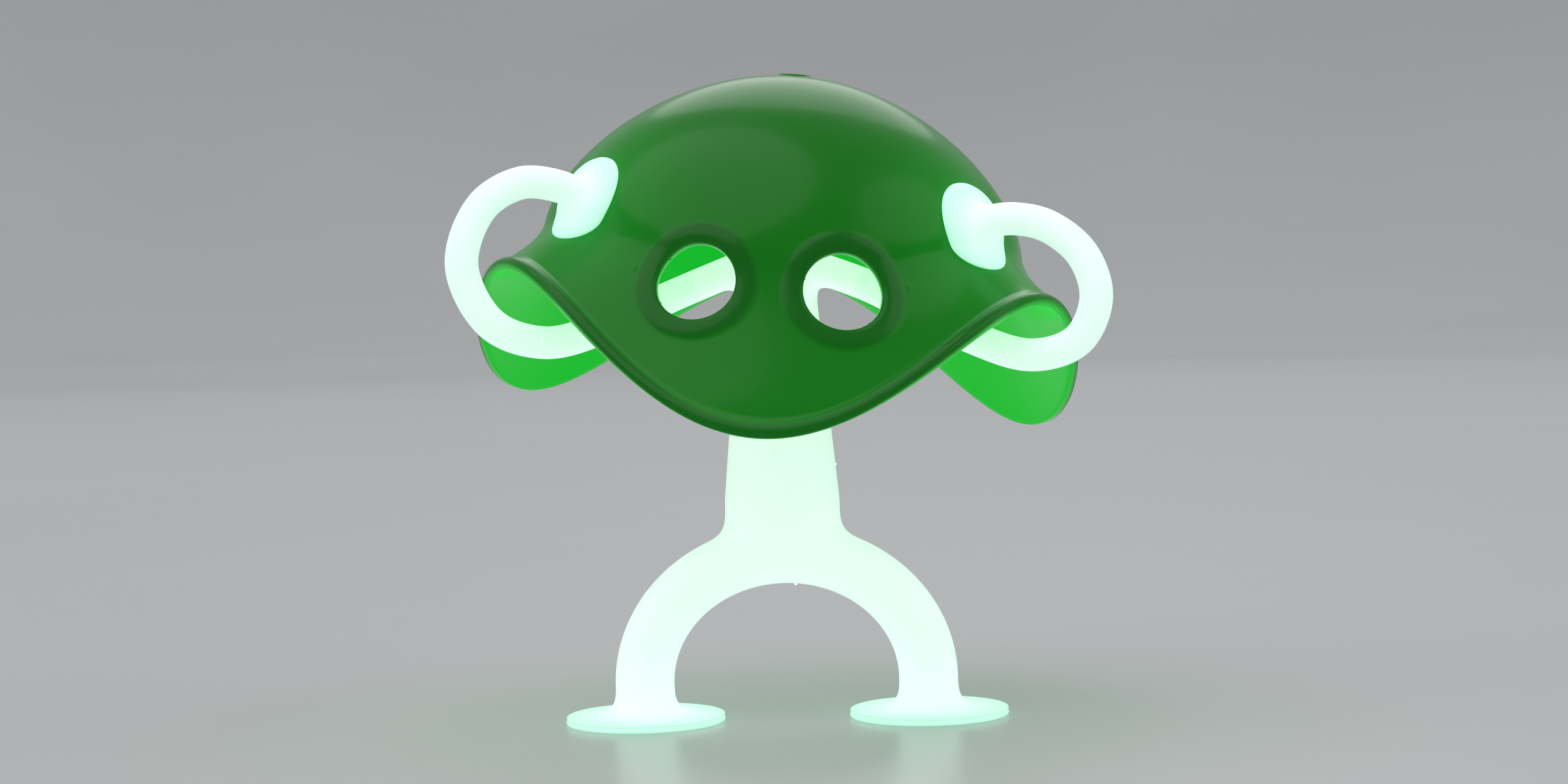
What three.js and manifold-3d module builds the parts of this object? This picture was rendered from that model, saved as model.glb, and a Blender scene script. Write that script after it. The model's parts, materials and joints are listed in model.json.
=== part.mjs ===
// A stretchy silicone suction figure that wears a moulded, three-lobed shell as a mask.
// Millimetres, +Z up, front towards -Y. The origin is under the middle of the whole object,
// on the surface that the two foot cups stick to.

import * as THREE from 'three';
import { ParametricGeometry } from 'three/addons/geometries/ParametricGeometry.js';
import { mergeVertices } from 'three/addons/utils/BufferGeometryUtils.js';
import Module from 'manifold-3d';

const wasm = await Module();
wasm.setup();

// ---- driving dimensions ---------------------------------------------------------------

const GAP = 0.3; // between neighbouring pieces
const TOLERANCE = 0.02; // details finer than this are left out of the facets
const AXIS = new THREE.Vector3(-0.46, 0.76, 1.4); // the figure's own axis; its feet reach down to zero

const LEG = {
  radius: 5.7,
  spread: 27.5, // half the distance between the feet
  footHeight: 6, // the arch starts here
  rise: 24.6, // from there to the top of the arch's middle line
  ankleAngle: 7, // degrees round the arch, from the foot
  hipAngle: 58,
  hipSwing: 10,
  ankleSwing: 10,
};

const TORSO = {
  nodHeight: 43,
  leanHeight: 62,
  swing: 12,
  outline: [[0, 25.6], [5.5, 26.6], [9, 30], [10.9, 34.5], [11.1, 39], [10.6, 46], [9.9, 54],
    [9.2, 62], [8.5, 70], [7.8, 79], [7.2, 84.5], [6, 86.8], [4.6, 88.1], [4.2, 88.9], [0, 88.9]],
};

const ARM = {
  radius: 3,
  azimuth: 55, // each arm keeps to a vertical plane this far round from the front
  hinges: 7,
  bend: 25, // degrees that each hinge opens as the arm uncurls
  firstHinge: 43, // mm along the arm
  handReach: 3.4, // the last stretch, from the last hinge's segment to the cup
};

// Middle lines of the arms in their own plane: distance from the figure's axis, and height.
const LEFT_ARM = {
  side: 'left',
  azimuth: -ARM.azimuth,
  path: [[8.9, 86], [24.3, 80.9], [38.5, 75.7], [52, 73.1], [63.2, 77], [68.7, 87.5], [64.4, 97.8],
    [56.2, 102.2], [49.6, 101.9], [46.2, 100.6]],
  hand: { r: 42.6, z: 99.2, tilt: 24 },
};
const RIGHT_ARM = {
  side: 'right',
  azimuth: ARM.azimuth,
  path: [[8.9, 86], [21.8, 81.7], [42.4, 72.4], [56.6, 68.6], [66.2, 71.4], [69.9, 78.9], [67.4, 86.4],
    [60.8, 91.6], [54.2, 93.4], [50.2, 93.2]],
  hand: { r: 46.2, z: 92.2, tilt: 13 },
};

const SHELL = {
  height: 65.6,
  wall: 1.7,
  lobes: 3,
  waistRadius: 46.1,
  waistRadiusSwing: 0.6, // lobes against arches
  waistHeight: 33.3,
  waistHeightSwing: -3.2,
  rimRadius: 58.3,
  rimRadiusSwing: 1,
  archRise: 26.8, // from a lobe's tip to the top of an arch
  lobeFlare: 7.8, // degrees from straight down, at the rim
  archFlare: 69,
  waistFlare: 8.5,
  beadWidth: 2.8,
  beadHeight: 0.7,
  tilt: { roll: 5.32, pitch: 1.51, yaw: -2.31 }, // degrees
  offset: 1.4, // sideways, from the figure's axis
  tipHeight: 57.2, // of the lobes' tips, before the tilt
};

const EYE = {
  azimuth: 15.9,
  radius: 48.1,
  height: 26.2,
  lean: 22.9, // degrees that the hole looks upwards
  turn: 13, // degrees that it looks outwards
  hole: 7,
  ring: 10.55,
  ringHeight: 0.7,
};

const FOOT_CUP = [[0, 1.5], [7.5, 1.1], [12.4, 0], [15.2, 0], [15.4, 0.3], [15.3, 0.8], [14.7, 1.1],
  [10.4, 1.4], [7.6, 2], [6.3, 3.1], [5.8, 4.6], [5.7, 7.8], [0, 7.8]];
const HAND_CUP = [[0, 1.5], [5, 1.1], [7.2, 0], [8.4, 0], [8.7, 0.3], [8.6, 0.8], [8.1, 1], [5.6, 1.6],
  [4, 2.6], [3.2, 4], [3, 5.2], [0, 5.2]];
const CROWN_CUP = [[0, 54.9], [4.4, 54.9], [4.9, 56.6], [6.8, 58.3], [10.6, 59.9], [12, 60.7],
  [12.1, 61.2], [11.7, 61.6], [10.6, 61.7], [7, 61.2], [0, 60.8]];
const HEAD = { radius: 11, stretch: 1.02, height: 43.35 };
const GATE = { radius: 3.2, height: 0.4 };

// ---- materials ------------------------------------------------------------------------

const silicone = (name) => new THREE.MeshStandardMaterial({
  name, color: 0xe4fff4, roughness: 0.42, metalness: 0,
});
const greenPlastic = new THREE.MeshStandardMaterial({
  name: 'green_plastic', color: 0x06931a, roughness: 0.18, metalness: 0,
});

// ---- solids: closed geometries, joined and cut -----------------------------------------

const degrees = THREE.MathUtils.degToRad;

/** A closed geometry as a solid, with its shared corners merged and its slivers dropped. */
function solidOf(geometry) {
  const bare = geometry.clone();
  bare.deleteAttribute('normal');
  bare.deleteAttribute('uv');
  const merged = mergeVertices(bare, 1e-4);
  const corners = merged.index.array;
  const triangles = [];
  for (let i = 0; i < corners.length; i += 3) {
    const [a, b, c] = corners.slice(i, i + 3);
    if (a !== b && b !== c && c !== a) triangles.push(a, b, c);
  }
  return new wasm.Manifold(new wasm.Mesh({
    numProp: 3,
    vertProperties: new Float32Array(merged.attributes.position.array),
    triVerts: new Uint32Array(triangles),
  }));
}

/** The geometry of a solid, shaded flat. */
function geometryOf(solid) {
  const { vertProperties, triVerts } = solid.simplify(TOLERANCE).getMesh();
  const geometry = new THREE.BufferGeometry();
  geometry.setAttribute('position', new THREE.BufferAttribute(vertProperties, 3));
  geometry.setIndex(new THREE.BufferAttribute(triVerts, 1));
  geometry.computeVertexNormals();
  return geometry;
}

/** A turned solid from an outline of [radius, height], about the Z axis. */
function turned(outline, segments) {
  const points = outline.map(([radius, height]) => new THREE.Vector2(radius, height));
  return new THREE.LatheGeometry(points, segments).rotateX(Math.PI / 2);
}

/** A round rod along a curve, with flat ends. */
function rod(curve, radius, steps, sides) {
  const section = new THREE.Shape();
  section.absarc(0, 0, radius, 0, 2 * Math.PI);
  return new THREE.ExtrudeGeometry(section, {
    extrudePath: curve, steps, curveSegments: sides, bevelEnabled: false,
  });
}

/** What is left of a solid on the side of a plane that its normal points to. */
function keepSide(solid, point, normal) {
  const size = 300;
  const block = new THREE.BoxGeometry(size, size, size).translate(0, 0, -size / 2);
  const turn = new THREE.Quaternion().setFromUnitVectors(new THREE.Vector3(0, 0, 1), normal);
  block.applyQuaternion(turn).translate(point.x, point.y, point.z);
  return solid.subtract(solidOf(block));
}

/** The moving side of a bending place: it starts a gap past the pivot, cut back for its swing. */
function startAt(solid, pivot, forward, axis, swings) {
  const start = pivot.clone().addScaledVector(forward, GAP);
  return swings.reduce(
    (cut, swing) => keepSide(cut, start, forward.clone().applyAxisAngle(axis, -degrees(swing))),
    solid,
  );
}

// ---- legs and feet ---------------------------------------------------------------------

/** Part of the elliptic arch of the two legs, from one angle to another, in degrees. */
class LegArch extends THREE.Curve {
  constructor(from, to) {
    super();
    this.from = degrees(from);
    this.to = degrees(to);
  }

  getPoint(t, target = new THREE.Vector3()) {
    const angle = THREE.MathUtils.lerp(this.from, this.to, t);
    return target.set(LEG.spread * Math.cos(angle), 0, LEG.footHeight + LEG.rise * Math.sin(angle));
  }
}

const Y_AXIS = new THREE.Vector3(0, 1, 0);
const X_AXIS = new THREE.Vector3(1, 0, 0);
const UP = new THREE.Vector3(0, 0, 1);

/** Where the arch is at an angle, and which way it runs. */
function archAt(angle) {
  const arch = new LegArch(angle, angle + 1);
  return { point: arch.getPoint(0), tangent: arch.getTangent(0) };
}

/** The leg and the foot cup on one side: 1 is right, -1 is left. */
function legAndFoot(side) {
  const turnSide = side > 0 ? 0 : 180;
  const round = (angle) => turnSide + side * angle;
  const hip = archAt(round(LEG.hipAngle));
  const ankle = archAt(round(LEG.ankleAngle));
  const down = (place) => place.tangent.clone().multiplyScalar(-side);
  const whole = solidOf(rod(new LegArch(round(LEG.hipAngle + 4), round(LEG.ankleAngle)), LEG.radius, 9, 8));
  const leg = startAt(whole, hip.point, down(hip), Y_AXIS, [LEG.hipSwing, -LEG.hipSwing]);

  const stub = solidOf(rod(new LegArch(round(LEG.ankleAngle + 4), round(-3)), LEG.radius, 2, 8));
  const cup = solidOf(turned(FOOT_CUP, 36).translate(side * LEG.spread, 0, -AXIS.z));
  const foot = startAt(stub.add(cup), ankle.point, down(ankle), Y_AXIS, [LEG.ankleSwing, -LEG.ankleSwing]);
  return { leg, foot, hip: hip.point, ankle: ankle.point };
}

// ---- torso -----------------------------------------------------------------------------

const torso = solidOf(turned(TORSO.outline, 24));
const nodPivot = new THREE.Vector3(0, 0, TORSO.nodHeight);
const leanPivot = new THREE.Vector3(0, 0, TORSO.leanHeight);
const DOWN = UP.clone().negate();
const bothWays = [TORSO.swing, -TORSO.swing];

const hips = keepSide(torso, nodPivot, DOWN)
  .add(solidOf(rod(new LegArch(LEG.hipAngle, 180 - LEG.hipAngle), LEG.radius, 8, 8)));
const waist = keepSide(startAt(torso, nodPivot, UP, X_AXIS, bothWays), leanPivot, DOWN);
const chest = startAt(torso, leanPivot, UP, Y_AXIS, bothWays);

// ---- shell -----------------------------------------------------------------------------

/** The shell's outer line from its top to its rim, at one azimuth: a dome, then a skirt. */
function meridian(azimuth) {
  const swing = Math.cos(SHELL.lobes * azimuth);
  const arch = (1 - swing) / 2;
  const flare = (angle) => new THREE.Vector2(Math.sin(degrees(angle)), -Math.cos(degrees(angle)));
  const top = new THREE.Vector2(0, SHELL.height);
  const waistPoint = new THREE.Vector2(
    SHELL.waistRadius + SHELL.waistRadiusSwing * swing,
    SHELL.waistHeight + SHELL.waistHeightSwing * swing,
  );
  const rim = new THREE.Vector2(
    SHELL.rimRadius + SHELL.rimRadiusSwing * swing,
    SHELL.archRise * arch,
  );
  const waistWay = flare(SHELL.waistFlare);
  const rimWay = flare(THREE.MathUtils.lerp(SHELL.lobeFlare, SHELL.archFlare, arch));
  const drop = SHELL.height - waistPoint.y;
  const reach = waistPoint.distanceTo(rim);
  const dome = new THREE.CubicBezierCurve(
    top,
    new THREE.Vector2(0.51 * waistPoint.x, SHELL.height),
    waistPoint.clone().addScaledVector(waistWay, -0.425 * drop),
    waistPoint,
  );
  const skirt = new THREE.CubicBezierCurve(
    waistPoint,
    waistPoint.clone().addScaledVector(waistWay, 0.236 * reach),
    rim.clone().addScaledVector(rimWay, -0.194 * reach),
    rim,
  );
  return { dome, skirt };
}

/** A point of the shell's outer surface. The way down is 0 at the top, 1 at the waist, 2 at the rim. */
function outerPoint(azimuth, way) {
  const { dome, skirt } = meridian(azimuth);
  const place = way <= 1 ? dome.getPoint(way) : skirt.getPointAt(way - 1);
  return new THREE.Vector3(place.x * Math.sin(azimuth), -place.x * Math.cos(azimuth), place.y);
}

/** The outward normal of the outer surface. */
function outerNormal(azimuth, way) {
  if (way === 0) return UP.clone();
  const step = 1e-3;
  const ahead = Math.min(way + step, 2);
  const along = outerPoint(azimuth, ahead).sub(outerPoint(azimuth, ahead - step));
  const across = outerPoint(azimuth + step, way).sub(outerPoint(azimuth - step, way));
  return along.cross(across).normalize();
}

const SHELL_COLUMNS = 48;
const DOME_ROWS = [0, 0.12, 0.25, 0.38, 0.52, 0.67, 0.83, 1];
const SKIRT_ROWS = [1.18, 1.36, 1.54, 1.7];

/** A closed skin between two offsets from the shell's outer surface, with or without the rim's bead. */
function skin(outside, inside, bead) {
  const beadEnd = (azimuth) => 2 - SHELL.beadWidth / meridian(azimuth).skirt.getLength();
  const beadRows = [
    { across: 0, lift: 0 }, { across: 0.2, lift: bead * 0.85 }, { across: 0.5, lift: bead },
    { across: 0.85, lift: bead * 0.75 }, { across: 1, lift: 0 },
  ];
  const plainRows = [...DOME_ROWS, ...SKIRT_ROWS].map((way) => ({ way, offset: outside }));
  const rimRows = beadRows.map(({ across, lift }) => ({ across, offset: outside + lift }));
  const innerRows = [2, ...[...SKIRT_ROWS].reverse().slice(1), ...[...DOME_ROWS].reverse()]
    .map((way) => ({ way, offset: inside }));
  const rows = [...plainRows, ...rimRows, ...innerRows];
  const surface = (u, v, target) => {
    const azimuth = -2 * Math.PI * u;
    const row = rows[Math.round(v * (rows.length - 1))];
    const way = row.way ?? THREE.MathUtils.lerp(beadEnd(azimuth), 2, row.across);
    target.copy(outerPoint(azimuth, way)).addScaledVector(outerNormal(azimuth, way), row.offset);
  };
  return solidOf(new ParametricGeometry(surface, SHELL_COLUMNS, rows.length - 1));
}

/** A round plug along the line of sight of one eye. */
function eyePlug(side, radius) {
  const azimuth = degrees(side * EYE.azimuth);
  const plug = new THREE.CylinderGeometry(radius, radius, 16, 28);
  plug.rotateX(degrees(-EYE.lean)).rotateZ(degrees(side * EYE.turn));
  return solidOf(plug.translate(EYE.radius * Math.sin(azimuth), -EYE.radius * Math.cos(azimuth), EYE.height));
}

function buildShell() {
  const raised = skin(EYE.ringHeight, -SHELL.wall / 2, 0);
  const gate = solidOf(new THREE.CylinderGeometry(GATE.radius * 0.85, GATE.radius, 1 + GATE.height, 20)
    .rotateX(Math.PI / 2)
    .translate(0, 0, SHELL.height + (GATE.height - 1) / 2));
  let shell = skin(0, -SHELL.wall, SHELL.beadHeight).add(gate);
  for (const side of [-1, 1]) shell = shell.add(raised.intersect(eyePlug(side, EYE.ring)));
  for (const side of [-1, 1]) shell = shell.subtract(eyePlug(side, EYE.hole));
  return shell;
}

/** The tilted frame of the shell, with the head and its crown cup inside. */
const shellFrame = new THREE.Group();
const middle = new THREE.Vector3(0, 0, SHELL.height / 2);
shellFrame.rotation.set(
  degrees(SHELL.tilt.pitch),
  degrees(SHELL.tilt.roll),
  degrees(SHELL.tilt.yaw),
  'YXZ',
);
shellFrame.position
  .copy(middle)
  .sub(middle.clone().applyEuler(shellFrame.rotation))
  .add(new THREE.Vector3(SHELL.offset, 0, SHELL.tipHeight));
shellFrame.updateMatrix();

const headGeometry = new THREE.SphereGeometry(HEAD.radius, 24, 14)
  .rotateX(Math.PI / 2)
  .scale(1, 1, HEAD.stretch)
  .translate(0, 0, HEAD.height);

// ---- arms ------------------------------------------------------------------------------

/** A stretch of a longer curve, between two distances along it. */
class Stretch extends THREE.Curve {
  constructor(whole, from, to) {
    super();
    this.whole = whole;
    this.from = from / whole.getLength();
    this.to = to / whole.getLength();
  }

  getPoint(t, target = new THREE.Vector3()) {
    return this.whole.getPointAt(THREE.MathUtils.lerp(this.from, this.to, t), target);
  }
}

/** An arm's pieces, from the shoulder to the hand cup, with the pivots between them. */
function buildArm(arm, shellGuard) {
  const turn = degrees(arm.azimuth);
  const outwards = new THREE.Vector3(Math.sin(turn), -Math.cos(turn), 0);
  const hingeAxis = new THREE.Vector3(Math.cos(turn), Math.sin(turn), 0);
  const place = ([r, z]) => outwards.clone().multiplyScalar(r).setZ(z);
  const middleLine = new THREE.CatmullRomCurve3(arm.path.map(place));
  middleLine.arcLengthDivisions = 800;
  const length = middleLine.getLength();
  const spacing = (length - ARM.firstHinge - ARM.handReach) / (ARM.hinges - 1);
  const hinges = Array.from({ length: ARM.hinges }, (_, i) => ARM.firstHinge + i * spacing);
  const tube = (from, to, steps) => solidOf(rod(new Stretch(middleLine, from, to), ARM.radius, steps, 5));

  const pieces = [{ node: `${arm.side}_upper_arm`, solid: tube(0, hinges[0], 9) }];
  const pivots = [];
  hinges.forEach((start, i) => {
    const end = hinges[i + 1] ?? length;
    const pivot = middleLine.getPointAt(start / length);
    const forward = middleLine.getTangentAt(start / length);
    let solid = tube(start, end, 3);
    if (i === ARM.hinges - 1) solid = solid.add(handCup(arm, place, outwards));
    solid = startAt(solid, pivot, forward, hingeAxis, [0, ARM.bend]);
    if (i === ARM.hinges - 1) solid = solid.subtract(shellGuard);
    const node = i === ARM.hinges - 1 ? `${arm.side}_hand_cup` : `${arm.side}_arm_${i + 1}`;
    pieces.push({ node, solid });
    pivots.push(pivot);
  });
  return { pieces, pivots, hingeAxis };
}

/** The suction cup at an arm's end, looking along its own axis at the shell's flank. */
function handCup(arm, place, outwards) {
  const rise = degrees(arm.hand.tilt);
  const away = outwards.clone().multiplyScalar(Math.cos(rise)).setZ(Math.sin(rise));
  const turn = new THREE.Quaternion().setFromUnitVectors(UP, away);
  const seat = place([arm.hand.r, arm.hand.z]);
  return solidOf(turned(HAND_CUP, 24).applyQuaternion(turn).translate(seat.x, seat.y, seat.z));
}

// ---- assembly --------------------------------------------------------------------------

const figure = new THREE.Group();
figure.position.copy(AXIS);
figure.add(shellFrame);

/** Adds a named piece to a group. */
function addPiece(group, name, geometry, material) {
  const mesh = new THREE.Mesh(geometry, material);
  mesh.name = name;
  group.add(mesh);
}

addPiece(shellFrame, 'shell', geometryOf(buildShell()), greenPlastic);
addPiece(shellFrame, 'crown_cup', geometryOf(solidOf(turned(CROWN_CUP, 24))), silicone('crown_cup'));
addPiece(shellFrame, 'head', geometryOf(solidOf(headGeometry)), silicone('head'));
addPiece(figure, 'hips', geometryOf(hips), silicone('hips'));
addPiece(figure, 'waist', geometryOf(waist), silicone('waist'));

const pivots = { waist_nod: nodPivot, waist_lean: leanPivot };
for (const [name, side] of [['left', -1], ['right', 1]]) {
  const { leg, foot, hip, ankle } = legAndFoot(side);
  addPiece(figure, `${name}_leg`, geometryOf(leg), silicone(`${name}_leg`));
  addPiece(figure, `${name}_foot_cup`, geometryOf(foot), silicone(`${name}_foot_cup`));
  pivots[`${name}_hip`] = hip;
  pivots[`${name}_ankle`] = ankle;
}

const shellGuard = solidOf(geometryOf(skin(GAP, -SHELL.wall, 0)).applyMatrix4(shellFrame.matrix));
for (const arm of [LEFT_ARM, RIGHT_ARM]) {
  const { pieces, pivots: armPivots } = buildArm(arm, shellGuard);
  for (const { node, solid } of pieces) addPiece(figure, node, geometryOf(solid), silicone(node));
  armPivots.forEach((pivot, i) => { pivots[`${arm.side}_arm_${i + 1}`] = pivot; });
}
addPiece(figure, 'chest', geometryOf(chest), silicone('chest'));

const part = new THREE.Group();
part.add(figure);
part.userData.pivots = pivots;

export default part;
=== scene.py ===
"""The looks of a stretchy suction figure that wears a three-lobed shell over its head."""

import json
import logging
import math
from dataclasses import dataclass, field, replace
from enum import Enum
from typing import Iterable, Sequence

import bmesh
import bpy
import numpy as np
from mathutils import Matrix, Vector


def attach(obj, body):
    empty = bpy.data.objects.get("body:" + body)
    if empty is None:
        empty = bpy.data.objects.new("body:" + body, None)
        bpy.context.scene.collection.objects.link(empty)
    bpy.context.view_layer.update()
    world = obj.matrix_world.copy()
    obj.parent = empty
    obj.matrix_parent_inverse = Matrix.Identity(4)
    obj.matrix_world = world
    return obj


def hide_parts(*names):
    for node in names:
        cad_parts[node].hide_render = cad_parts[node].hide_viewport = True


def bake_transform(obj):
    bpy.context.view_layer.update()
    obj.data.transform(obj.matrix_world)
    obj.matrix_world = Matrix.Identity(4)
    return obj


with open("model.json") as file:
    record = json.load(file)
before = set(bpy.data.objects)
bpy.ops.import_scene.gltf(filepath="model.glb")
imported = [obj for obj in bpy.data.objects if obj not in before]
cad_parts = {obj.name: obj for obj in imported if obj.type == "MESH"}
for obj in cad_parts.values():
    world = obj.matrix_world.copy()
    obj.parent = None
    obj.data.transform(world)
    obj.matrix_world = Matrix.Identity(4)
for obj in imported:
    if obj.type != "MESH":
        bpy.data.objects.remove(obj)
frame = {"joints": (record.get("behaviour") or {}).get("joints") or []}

log = logging.getLogger("suction_figure")
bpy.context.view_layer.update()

MM = 0.001
JOINTS = {joint["name"]: joint for joint in frame["joints"]}
NOD_HEIGHT = 43.0
AXIS = np.array(JOINTS["waist_nod"]["pos_m"]) / MM - np.array([0.0, 0.0, NOD_HEIGHT])
UP = np.array([0.0, 0.0, 1.0])


# ---- names of options --------------------------------------------------------------------


class Side(Enum):
    """Which side of the figure, seen from the front."""

    LEFT = -1
    RIGHT = 1

    @property
    def word(self) -> str:
        """The side's name as used in the names of bodies and pieces."""
        return self.name.lower()


class Slot(Enum):
    """The record's material slots."""

    SILICONE = "silicone"
    SHELL = "shell"


# ---- small geometry helpers ----------------------------------------------------------------


def unit(vectors: np.ndarray) -> np.ndarray:
    """Vectors scaled to length one.

    Args:
        vectors: One vector, or one to a row.

    Returns:
        The same directions at length one.
    """
    lengths = np.linalg.norm(vectors, axis=-1, keepdims=True)
    return vectors / np.maximum(lengths, 1e-12)


def rotation(axis: str, angle: float) -> np.ndarray:
    """A 3 by 3 rotation about a main axis, by an angle in degrees."""
    return np.array(Matrix.Rotation(math.radians(angle), 3, axis))


def bezier(controls: Sequence[np.ndarray], t: np.ndarray) -> np.ndarray:
    """Points of cubic Bezier curves.

    Args:
        controls: Four arrays of control points, one curve to a row.
        t: The places along the curves, one to a row, from 0 to 1.

    Returns:
        One point to a row.
    """
    s = 1 - t
    weights = (s**3, 3 * s * s * t, 3 * s * t * t, t**3)
    return sum(w[..., None] * c for w, c in zip(weights, controls))


def catmull_rom(points: np.ndarray, steps: int = 60) -> np.ndarray:
    """A centripetal Catmull-Rom curve through points, as a fine line.

    Args:
        points: The points that the curve goes through, one to a row.
        steps: How many short lines make each span.

    Returns:
        The points of the fine line.
    """
    first = 2 * points[0] - points[1]
    last = 2 * points[-1] - points[-2]
    knots = np.vstack([first, points, last])
    line = [points[0]]
    for i in range(1, len(knots) - 2):
        p0, p1, p2, p3 = knots[i - 1 : i + 3]
        d0, d1, d2 = (max(float(np.linalg.norm(b - a)), 1e-9) ** 0.5 for a, b in ((p0, p1), (p1, p2), (p2, p3)))
        t1 = ((p1 - p0) / d0 - (p2 - p0) / (d0 + d1) + (p2 - p1) / d1) * d1
        t2 = ((p2 - p1) / d1 - (p3 - p1) / (d1 + d2) + (p3 - p2) / d2) * d1
        u = np.linspace(0, 1, steps + 1)[1:, None]
        a = 2 * p1 - 2 * p2 + t1 + t2
        b = -3 * p1 + 3 * p2 - 2 * t1 - t2
        line.extend(p1 + u * (t1 + u * (b + u * a)))
    return np.array(line)


@dataclass
class Path:
    """A fine line that can be read at any distance along it.

    Attributes:
        line: The line's points, in millimetres.
    """

    line: np.ndarray
    distances: np.ndarray = field(init=False)

    def __post_init__(self) -> None:
        """Measures the distance to each of the line's points."""
        steps = np.linalg.norm(np.diff(self.line, axis=0), axis=1)
        self.distances = np.concatenate([[0.0], np.cumsum(steps)])

    @property
    def length(self) -> float:
        """The whole length."""
        return float(self.distances[-1])

    def at(self, distance: np.ndarray | float) -> np.ndarray:
        """The points at some distances along the path."""
        columns = [np.interp(distance, self.distances, self.line[:, k]) for k in range(3)]
        return np.stack(columns, -1)

    def tangent(self, distance: np.ndarray | float) -> np.ndarray:
        """The directions at some distances along the path."""
        reach = 0.15
        return unit(self.at(np.minimum(np.add(distance, reach), self.length)) - self.at(np.subtract(distance, reach).clip(0)))


def to_frame(points: np.ndarray) -> np.ndarray:
    """Points round the figure's own axis, in millimetres, as frame points in metres."""
    return (points + AXIS) * MM


def frame_point(point: np.ndarray) -> tuple[float, float, float]:
    """One point round the figure's own axis as a tuple of metres in the frame."""
    return tuple(float(x) for x in to_frame(point))


# ---- mesh helpers ------------------------------------------------------------------------


def mesh_piece(name: str, points: np.ndarray, faces: Iterable[Sequence[int]], finish: "Finish") -> bpy.types.Object:
    """A smooth mesh object at the origin, dressed in a finish.

    Args:
        name: The piece's name.
        points: The corners, in millimetres round the figure's axis.
        faces: The faces' corners.
        finish: What the piece is made of.

    Returns:
        The new object.
    """
    mesh = bpy.data.meshes.new(name)
    mesh.from_pydata(to_frame(points).tolist(), [], list(faces))
    mesh.update()
    mesh.polygons.foreach_set("use_smooth", [True] * len(mesh.polygons))
    mesh.materials.append(finish.material())
    piece = bpy.data.objects.new(name, mesh)
    bpy.context.scene.collection.objects.link(piece)
    return piece


def store(piece: bpy.types.Object, name: str, values: np.ndarray) -> None:
    """Stores one number for each corner of a piece, for its material to read.

    Args:
        piece: A mesh object.
        name: The attribute's name.
        values: One number for each corner.
    """
    attribute = piece.data.attributes.new(name, "FLOAT", "POINT")
    attribute.data.foreach_set("value", np.asarray(values, np.float32))


def ring_faces(first: Sequence[int], second: Sequence[int]) -> list[tuple[int, ...]]:
    """The quads between two closed rings of as many corners each."""
    count = len(first)
    return [(first[i], first[(i + 1) % count], second[(i + 1) % count], second[i]) for i in range(count)]


def stack_rings(centres: np.ndarray, axes: np.ndarray, radii: np.ndarray, sides: int) -> tuple[np.ndarray, list[tuple[int, ...]]]:
    """A tube of round rings, closed at both ends.

    Args:
        centres: The rings' middles.
        axes: The direction that each ring faces.
        radii: The rings' radii. A last radius of zero closes the tube at a point.
        sides: The corners of each ring.

    Returns:
        The corners and the faces.
    """
    axes = unit(axes)
    side = unit(np.cross(axes[0], [0.31, 0.77, 0.55]))
    angles = np.arange(sides) * 2 * math.pi / sides
    points: list[np.ndarray] = []
    rings: list[list[int]] = []
    for centre, axis, radius in zip(centres, axes, radii):
        side = unit(side - axis * float(side @ axis))
        up = np.cross(axis, side)
        if radius <= 0:
            rings.append([len(points)] * sides)
            points.append(centre)
            continue
        rings.append(list(range(len(points), len(points) + sides)))
        points.extend(centre + radius * (math.cos(a) * side + math.sin(a) * up) for a in angles)
    faces: list[tuple[int, ...]] = []
    for first, second in zip(rings, rings[1:]):
        for quad in ring_faces(first, second):
            corners = tuple(dict.fromkeys(quad))
            if len(corners) > 2:
                faces.append(corners)
    for ring, turned_over in ((rings[0], True), (rings[-1], False)):
        if ring[0] != ring[1]:
            faces.append(tuple(reversed(ring)) if turned_over else tuple(ring))
    return np.array(points), faces


def sharpen_ends(piece: bpy.types.Object) -> None:
    """Keeps the flat end faces of a tube from bending the shading of its side."""
    for polygon in piece.data.polygons:
        if polygon.loop_total > 4:
            polygon.use_smooth = False
            for loop in polygon.loop_indices:
                piece.data.edges[piece.data.loops[loop].edge_index].use_edge_sharp = True


# ---- shader groups and finishes ----------------------------------------------------------


def new_group(name: str, inputs: Sequence[tuple[str, str, object]], outputs: Sequence[tuple[str, str]]) -> tuple[bpy.types.NodeTree, bpy.types.Node, bpy.types.Node]:
    """An empty shader group with its sockets.

    Args:
        name: The group's name.
        inputs: Name, socket type and default value of each input.
        outputs: Name and socket type of each output.

    Returns:
        The group with its input and output nodes.
    """
    group = bpy.data.node_groups.new(name, "ShaderNodeTree")
    for label, kind, default in inputs:
        socket = group.interface.new_socket(label, in_out="INPUT", socket_type=kind)
        socket.default_value = default
    for label, kind in outputs:
        group.interface.new_socket(label, in_out="OUTPUT", socket_type=kind)
    return group, group.nodes.new("NodeGroupInput"), group.nodes.new("NodeGroupOutput")


def add_node(tree: bpy.types.NodeTree, kind: str, inputs: dict | None = None, **settings: object) -> bpy.types.Node:
    """A node with its settings and its inputs, which are values or sockets to link.

    Args:
        tree: The tree that gets the node.
        kind: The node's type.
        inputs: Socket name or index to a value or to another node's output.
        settings: The node's own settings.

    Returns:
        The new node.
    """
    node = tree.nodes.new(kind)
    for key, value in settings.items():
        setattr(node, key, value)
    for key, value in (inputs or {}).items():
        if isinstance(value, bpy.types.NodeSocket):
            tree.links.new(value, node.inputs[key])
        else:
            node.inputs[key].default_value = value
    return node


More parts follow.
